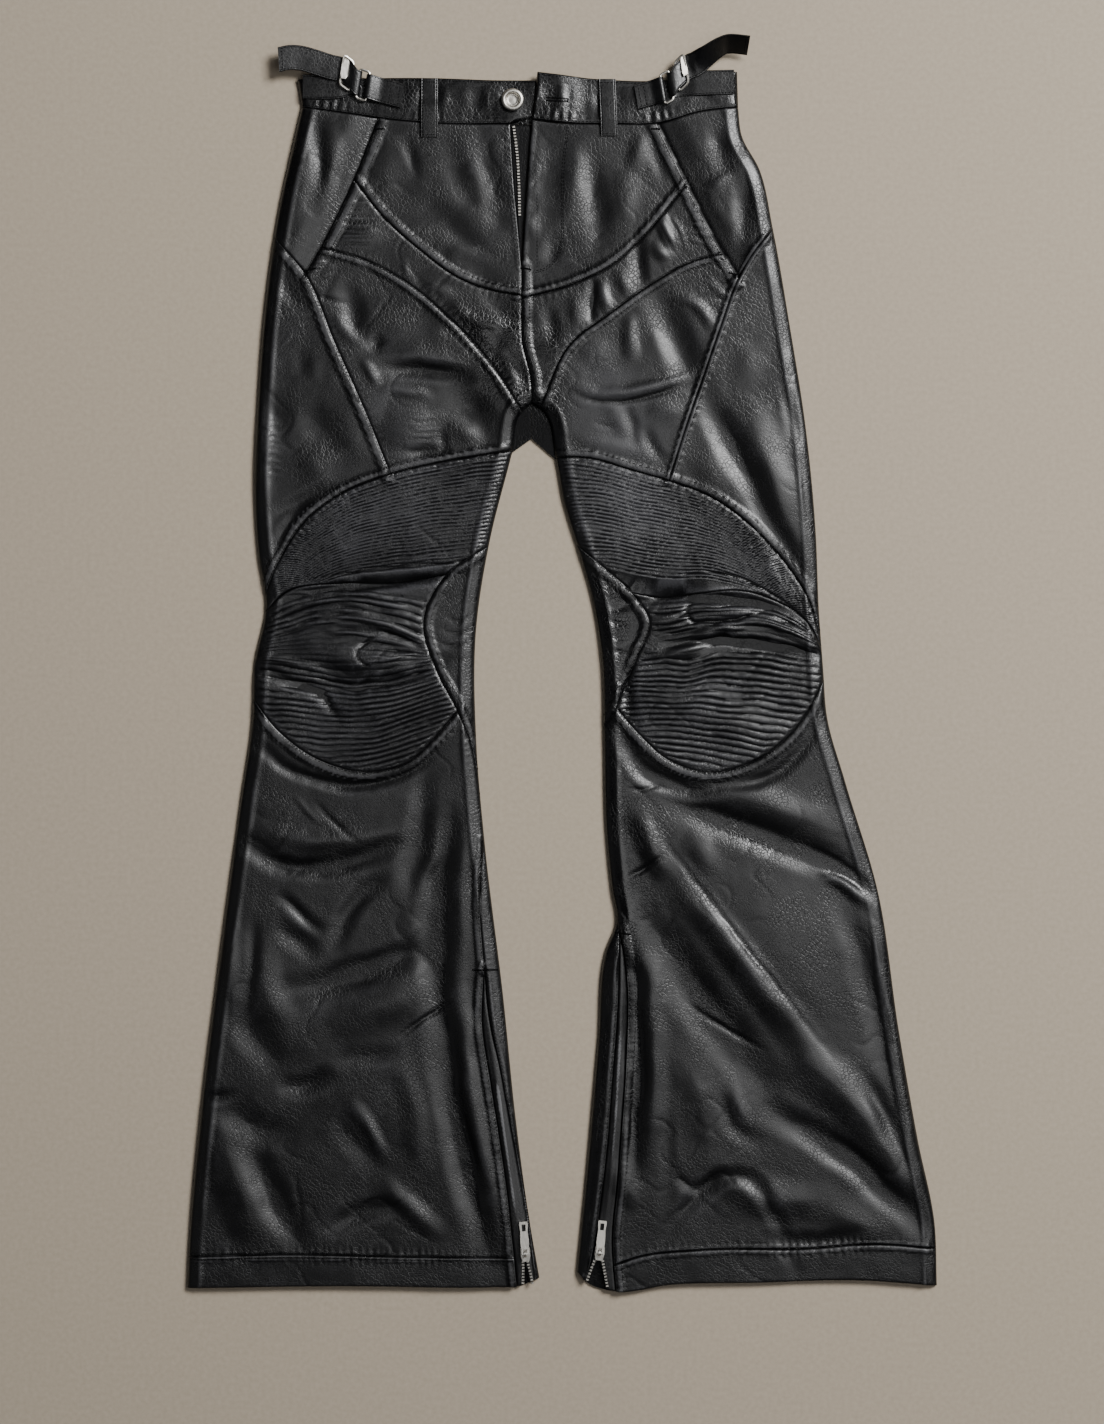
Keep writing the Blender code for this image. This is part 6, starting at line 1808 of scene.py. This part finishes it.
@dataclass
class Strap:
    """A flat strap with soft edges and a stitch row near each."""

    name: str
    stations: Sequence[Station]
    width: float
    thickness: float
    rests_on: str
    finish: "Finish"
    inset: float = 1.6
    crossings: Sequence[float] = ()

    def build(self, thread: Thread) -> None:
        """Makes the strap and sews it.

        Args:
            thread: the thread that the stitches go to.
        """
        line = spline(self.stations, 1.6)
        middles, turns, leans = line[:, :3], np.radians(line[:, 3]), np.radians(line[:, 4])
        across = np.column_stack([np.sin(turns) * np.cos(leans), np.cos(turns) * np.cos(leans), np.sin(leans)])
        normals = np.cross(np.gradient(middles, axis=0), across)
        normals /= np.linalg.norm(normals, axis=1)[:, None]
        half = self.width / 2
        steps = (
            (0, 0.2), (0.25, 0.75), (0.7, 1.0), (self.inset - 0.4, 1.0), (self.inset, 0.62), (self.inset + 0.4, 1.0),
            (self.inset + 0.9, 1.05), (half, 1.1),
        )
        top = [(half - gap, rise) for gap, rise in steps] + [(gap - half, rise) for gap, rise in steps[-2::-1]]
        section = top + [(-by, -0.85 * rise) for by, rise in top]
        uneven = 1 + 0.12 * ripple(middles[:, :2], 9, 61)
        rows = [
            middles + across * by + normals * (rise * uneven * self.thickness / 2)[:, None] for by, rise in section
        ]
        count = len(middles)
        mesh = Mesh()
        mesh.tube(np.stack(rows, axis=1).reshape(-1, 3), len(section))
        marks = np.tile([SUNK if abs(rise) < 0.7 else 0.0 for by, rise in section], count)
        obj = mesh.place(f"cloth_{self.name}", self.finish, marks)
        outward(obj)
        flat = (self.width * MM, length_of(middles) * MM)
        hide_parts(self.name)
        for face, side in ((1, 1), (1, -1), (-1, 1), (-1, -1)):
            lift = face * normals * (0.66 * self.thickness / 2)
            thread.row(middles + across * side * (half - self.inset) + lift, face * normals)
        for share in self.crossings:
            i = int(share * (count - 1))
            reach = np.linspace(self.inset - half, half - self.inset, 8)[:, None]
            for up in (normals[i], -normals[i]):
                thread.row(middles[i] + across[i] * reach + up * self.thickness * 0.55, np.tile(up, (8, 1)))
        LOG.info("%s: %d faces", self.name, len(mesh.faces))


def outward(obj: bpy.types.Object) -> None:
    """Turns a closed mesh's faces outwards."""
    mesh = bmesh.new()
    mesh.from_mesh(obj.data)
    bmesh.ops.recalc_face_normals(mesh, faces=mesh.faces)
    mesh.to_mesh(obj.data)
    mesh.free()


@dataclass
class BeltLoops:
    """The two front belt loops, from the yoke over the band."""

    relief: Relief

    def build(self, thread: Thread) -> None:
        """Makes both."""
        lift = SEAM_GAP + LOOP_CLOTH / 2 + 0.2
        for side, (foot, head) in LOOPS.items():
            foot, head = np.array(foot, float), np.array(head, float)
            half = np.array([LOOP_WIDTH / 2, 0])
            stations = []
            for share in (0, 0.08, 0.18, 0.28, 0.45, 0.7, 0.9, 1):
                place = foot + (head - foot) * share
                spots = np.array([place - half, place, place + half, place - (0, 4)])
                on_band = place[1] > CURVES[side]["waist"][2][1] - 1 and share > 0.5
                under = BAND_FLAT + 0.2 if on_band else float(self.relief.height(spots).max())
                stations.append(Station(*place, under + lift + 0.8 * math.sin(math.pi * share), 90, 0))
            strap = Strap(
                f"belt_loop_{side}", stations, LOOP_WIDTH, LOOP_CLOTH, f"cloth_waistband_{side}", Finish.STRAP,
                crossings=(0.06, 0.95),
            )
            strap.build(thread)


def round_bar(bar: Bar, heading: int, radius: float, turn: float) -> list[Station]:
    """Stations that carry a strap from under a bar, past its far side and back over it."""
    across = heading * radius * Vector((math.cos(math.radians(turn)), -math.sin(math.radians(turn))))
    angles = [math.radians(d) for d in (-90, -50, -17, 17, 50, 90)]
    return [
        Station(bar.x + across.x * math.cos(a), bar.y + across.y * math.cos(a), bar.z + radius * math.sin(a), turn, 0)
        for a in angles
    ]


class SideAdjusters:
    """The straps of both sides, threaded through their rings, and the tabs that hold the rings."""

    def tab(self, side: str, adjuster: Adjuster) -> Strap:
        """Two layers sewn on the band that part to go round the front ring's bar."""
        bar, turn = adjuster.tab_bar, adjuster.turn
        end = np.array(adjuster.tab_end, float)
        way = np.array([bar.x, bar.y]) - end
        second = TAB_LOW + TAB + SEAM_GAP
        stations = [Station(*(end + way * share), TAB_LOW, turn, 0) for share in (0, 0.5, 0.9)]
        stations += round_bar(bar, -adjuster.toward, TAB_WRAP, turn)
        stations += [
            Station(*(end + way * share), second + lift, turn, 0)
            for share, lift in ((0.82, 1.7), (0.68, 0.3), (0.4, 0), (0, 0))
        ]
        return Strap(
            f"adjuster_tab_{side}", stations, STRAP_WIDTH, TAB, f"cloth_waistband_{side}", Finish.STRAP,
            crossings=(0.86, 0.96),
        )

    def build(self, thread: Thread) -> None:
        """Makes the straps and tabs, and plates the rings."""
        for side, adjuster in ADJUSTERS.items():
            stations = list(adjuster.run)
            stations += round_bar(adjuster.front_bar, adjuster.toward, WRAP, adjuster.turn)
            stations += list(adjuster.tail)
            strap = Strap(
                f"adjuster_strap_{side}", stations, STRAP_WIDTH, STRAP, f"cloth_waistband_{side}", Finish.STRAP,
                crossings=(0.985,),
            )
            strap.build(thread)
            self.tab(side, adjuster).build(thread)
            for ring in ("front", "side"):
                plated(f"ring_{ring}_{side}")
        ring_plates()


def ring_plates() -> None:
    """The flat bars that the side rings' outer sides are: each lies on the strap."""
    for side, (corners, low, high) in PLATES.items():
        corners = np.array(corners[::-1])
        middle = corners.mean(axis=0)
        outline = np.vstack([
            corner + PLATE_CORNER * (other - corner) for i, corner in enumerate(corners)
            for other in (corners[i - 1], corners[(i + 1) % 4])
        ])
        rows = []
        for z, size in ((low, 1.0), (high - 0.3, 1.0), (high, 0.88)):
            plan = middle + (outline - middle) * size
            rows.append(np.column_stack([plan, z - PLATE_TILT * (plan - middle) @ LIT]))
        mesh = Mesh()
        mesh.tube(np.vstack(rows), len(outline))
        outward(mesh.place(f"ring_plate_{side}", Finish.METAL, sharp=10))


def plated(node: str) -> None:
    """Gives a CAD node the plated finish."""
    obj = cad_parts[node]
    if not obj.material_slots:
        obj.data.materials.append(Finish.METAL.material())
    for held in obj.material_slots:
        held.material = Finish.METAL.material()


@dataclass
class Hardware:
    """The button, the sliders and their tabs, and the zips' teeth."""

    relief: Relief

    def button(self) -> None:
        """A jeans button: a rolled rim round a hollow with a low dome, on its shank."""
        turns = np.arange(BUTTON_SIDES) * 2 * math.pi / BUTTON_SIDES
        ring = np.column_stack([np.cos(turns), np.sin(turns)])
        seat = BAND_FLAT + SEAM_GAP
        mesh = Mesh()
        mesh.tube(np.vstack([
            np.column_stack([ring * radius + BUTTON_AT, np.full(BUTTON_SIDES, seat + z)])
            for radius, z in spline(BUTTON_PROFILE, 0.5)
        ]), BUTTON_SIDES)
        obj = mesh.place("button_rim_and_shank", Finish.METAL)
        outward(obj)
        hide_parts("waist_button")

    def teeth(self, name: str, rise: Callable[[Points], np.ndarray]) -> None:
        """One row of teeth, each a small rounded block across its tape's edge."""
        route = spline(TEETH_ROWS[name], TEETH_PITCH)
        normals = turned(route)
        ways = np.column_stack([normals[:, 1], -normals[:, 0]])
        heights = rise(route)
        mesh = Mesh()
        for place, way, side, z in zip(route, ways, normals, heights):
            mesh.tube(np.array([
                (*(place + way * i * half_x + side * j * half_y), z + low)
                for low, half_x, half_y in TOOTH for i, j in ((-1, -1), (1, -1), (1, 1), (-1, 1))
            ]), 4)
        obj = mesh.place(f"teeth_{name}", Finish.METAL, sharp=50)
        outward(obj)

    def build(self) -> None:
        """Makes everything of metal."""
        self.button()
        self.teeth("fly", lambda points: np.full(len(points), FLY_TAPE_TOP))
        tape = Front(self.relief).tape_layer()
        for name in TEETH_ROWS:
            if name != "fly":
                self.teeth(name, lambda points: tape.outer(points)[:, 2] - TOOTH_SINK)
        for side in ("right", "left"):
            plated(f"zip_slider_{side}")
            plated(f"zip_pull_{side}")


@dataclass
class Fly:
    """The shield under the opening and the tape along the right front's edge."""

    def slab(self, name: str, polygon: Points, low: float, high: float, finish: Finish) -> None:
        """A flat layer between two heights with soft edges."""
        outline = spaced(polygon)
        rows = inset(outline, 0.7)
        body = np.vstack([rows[inside(rows, outline)], grid(outline, TAPE_GRID, 1.4)])
        flat, faces, rim, _ = filled(outline, body)
        away = np.minimum(beside(flat, closed(outline), 1.2).distance, 1.2)
        wave = 0.12 * ripple(flat, 12, 71)
        top = np.column_stack([flat, high - 0.35 * (1 - away / 1.2) ** 2 + wave * away / 1.2 - 0.1])
        mesh = Mesh()
        mesh.add(top, faces)
        shift = mesh.add(np.column_stack([flat, np.full(len(flat), low)]), faces[:, ::-1])
        mesh.wall(rim, shift + rim)
        obj = mesh.place(f"cloth_{name}", finish)
        declare(obj, outline, area_of(top, faces))
        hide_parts(name)

    def headed(self, route: Points) -> Points:
        """An edge of the opening, from the shield's head down."""
        below = route[route[:, 1] < SHIELD_HEAD - 1]
        return np.vstack([[below[0][0], SHIELD_HEAD], below])

    def build(self) -> None:
        """Makes both."""
        right, left = (self.headed(curve("middle", name)) for name in ("fly_right", "fly_left"))
        reach = np.array([SHIELD_REACH, 0])
        shield = np.vstack([right - reach, left[::-1] + reach])
        self.slab("fly_underlap", inset(shield, SEAM_GAP), BACK_TOP + SEAM_GAP, SHIELD_TOP, Finish.UNDER)
        shares = np.linspace(0.02, FLY_SHARE, 40)
        edge = spline(CURVES["middle"]["fly_right"], 0.5)
        edge = edge[(shares * (len(edge) - 1)).astype(int)]
        widths = FLY_TAPE_WIDTH + (FLY_TAPE_FOOT - FLY_TAPE_WIDTH) * shares / FLY_SHARE
        tape = np.vstack([edge + (SEAM_GAP, 0), (edge + np.column_stack([widths, 0 * widths]))[::-1]])
        self.slab("fly_zip_tape", tape, SHIELD_TOP + SEAM_GAP, FLY_TAPE_TOP, Finish.TAPE)


@dataclass
class Sewing:
    """All the topstitching of the front and the waistband."""

    relief: Relief

    def build(self) -> None:
        """Sews the seams of each leg, the fly, the band, the bar tacks and the buttonhole."""
        leg = Front(self.relief).leg_layer().outer
        cloth = list(front_pieces().values())
        threads = {side: Thread(f"stitching_{side}", within=cloth) for side in ("right", "left", "middle")}
        for seam in SEAMS:
            route = curve(seam.side, seam.curve)
            for row in seam.rows:
                threads[seam.side].row_on(route + turned(route) * row, leg)
        fly = threads["middle"]
        curved, straight = (spline(route, 1.5) for route in (J_STITCH, FLY_LINE))
        for line in (curved, straight, curved - turned(curved) * J_APART):
            fly.row_on(line, leg)
        for thread in threads.values():
            thread.within = ()
        band = Waistband()
        layers = {"right": band.right_height, "left": band.left_height}
        for side, height in layers.items():
            low = curve(side, "waist")
            high = spline(BAND_TOP[side], CURVE_STEP)
            clear = BAND_ROLL * 0.8
            for line, gap in ((low, 2.0), (high, -2.4)):
                line = line + turned(line) * gap
                ends = (line[:, 0] > BAND_TOP["right"][0][0] + clear) & (line[:, 0] < BAND_TOP["left"][-1][0] - clear)
                threads[side].row_on(line[ends], surface(height))
        for start, end in BAR_TACKS.values():
            fly.bar_tack(start, end, leg)
        self.buttonhole(fly, surface(band.left_height))
        for thread in threads.values():
            thread.place()
            LOG.info("%s: %d faces", thread.name, len(thread.mesh.faces))

    def buttonhole(self, thread: Thread, over: Callable[[Points], Points]) -> None:
        """The slit as a dark sliver laid on the band, painted shade, with thread all round it."""
        a, b = (np.array(p) for p in BUTTONHOLE)
        way = (b - a) / np.linalg.norm(b - a)
        side = np.array([-way[1], way[0]])
        for sign in (1, -1):
            thread.bar_tack(tuple(a + side * sign * 1.3), tuple(b + side * sign * 1.3), over, 1.5)
        thread.bar_tack(tuple(b + way * 0.8 - side * 2), tuple(b + way * 0.8 + side * 2), over, 1.6)
        reach = np.linspace(0, 1, 12)[:, None]
        cut = a + (b - a) * reach
        half = 0.55 * np.sin(math.pi * np.clip(reach, 0.04, 0.96)) ** 0.3
        plan = np.vstack([cut + side * half, (cut - side * half)[::-1]])
        mesh = Mesh()
        top = over(plan) + (0, 0, 0.06)
        mesh.tube(np.vstack([top - (0, 0, 0.5), top]), len(plan))
        outward(mesh.place("buttonhole_slit_shade", Finish.TAPE))


class Lamp(NamedTuple):
    """A soft box: where it stands and its size in metres, and its power in watts."""

    name: str
    place: tuple[float, float, float]
    size: tuple[float, float]
    power: float


LAMPS = (
    Lamp("key_light", (2.3, 1.9, 3.1), (1.6, 1.6), 285),
    Lamp("top_light", (1.1, -0.3, 3.3), (0.8, 3.2), 24),
    Lamp("fill_light", (-2.2, -0.6, 1.8), (1.8, 1.8), 1.5),
)


@dataclass
class Studio:
    """A pale floor, soft lights and a camera straight over the garment, in metres."""

    camera: tuple[float, float, float] = (-0.0089, -0.0422, 3.0075)
    lens: float = 85.3
    floor_half: float = 8.0
    floor_drop: float = 0.0002
    floor_tones: tuple[str, str] = ("#9a8e7c", "#b0a391")
    room_tone: str = "#9a9a9e"
    room_strength: float = 0.08

    def floor(self) -> None:
        """A board with a matt emulsion paint, which gives the eye an even warm grey."""
        material, tree, shader, place = new_tree("painted_board")
        speckle = add_node(
            tree, "ShaderNodeTexNoise", {"Scale": per_metre(4), "Detail": 3.0}, {"Vector": place.outputs["Object"]},
        )
        low, high = (linear(tone) for tone in self.floor_tones)
        tone = add_node(
            tree, "ShaderNodeMix", {"data_type": "RGBA", 6: low, 7: high}, {0: speckle.outputs["Fac"]},
        )
        tree.links.new(tone.outputs[2], shader.inputs["Base Color"])
        shader.inputs["Roughness"].default_value = 0.85
        mesh = bpy.data.meshes.new("floor")
        corners = [(i * self.floor_half, j * self.floor_half, 0) for i, j in ((-1, -1), (1, -1), (1, 1), (-1, 1))]
        mesh.from_pydata(corners, [], [(0, 1, 2, 3)])
        mesh.materials.append(material)
        floor = bpy.data.objects.new("floor", mesh)
        floor.location.z = -self.floor_drop
        bpy.context.scene.collection.objects.link(floor)

    def light(self, lamp: Lamp) -> None:
        """A soft box that looks at the middle of the garment."""
        data = bpy.data.lights.new(lamp.name, "AREA")
        data.shape = "RECTANGLE"
        data.size, data.size_y = lamp.size
        data.energy = lamp.power
        obj = bpy.data.objects.new(lamp.name, data)
        obj.location = lamp.place
        obj.rotation_euler = Vector(lamp.place).to_track_quat("Z", "Y").to_euler()
        bpy.context.scene.collection.objects.link(obj)

    def build(self) -> None:
        """Makes the floor, the lights, the room's light and the camera."""
        self.floor()
        for lamp in LAMPS:
            self.light(lamp)
        world = bpy.context.scene.world or bpy.data.worlds.new("studio")
        bpy.context.scene.world = world
        world.use_nodes = True
        room = world.node_tree.nodes["Background"].inputs
        room["Color"].default_value = linear(self.room_tone)
        room["Strength"].default_value = self.room_strength
        camera = bpy.data.cameras.new("camera")
        camera.lens = self.lens
        obj = bpy.data.objects.new("camera", camera)
        obj.location = self.camera
        bpy.context.scene.collection.objects.link(obj)
        bpy.context.scene.camera = obj


def main() -> None:
    """Builds every sub-assembly in order."""
    logging.basicConfig(level=logging.INFO, format="%(message)s")
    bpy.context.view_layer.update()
    relief = Relief()
    Backs().build()
    Front(relief).build()
    Waistband().build()
    Fly().build()
    strap_thread = Thread("stitching_straps", pitch=2.9, length=2.2, thick=0.55)
    BeltLoops(relief).build(strap_thread)
    SideAdjusters().build(strap_thread)
    strap_thread.place()
    Hardware(relief).build()
    Sewing(relief).build()
    Studio().build()


if __name__ == "__main__":
    main()
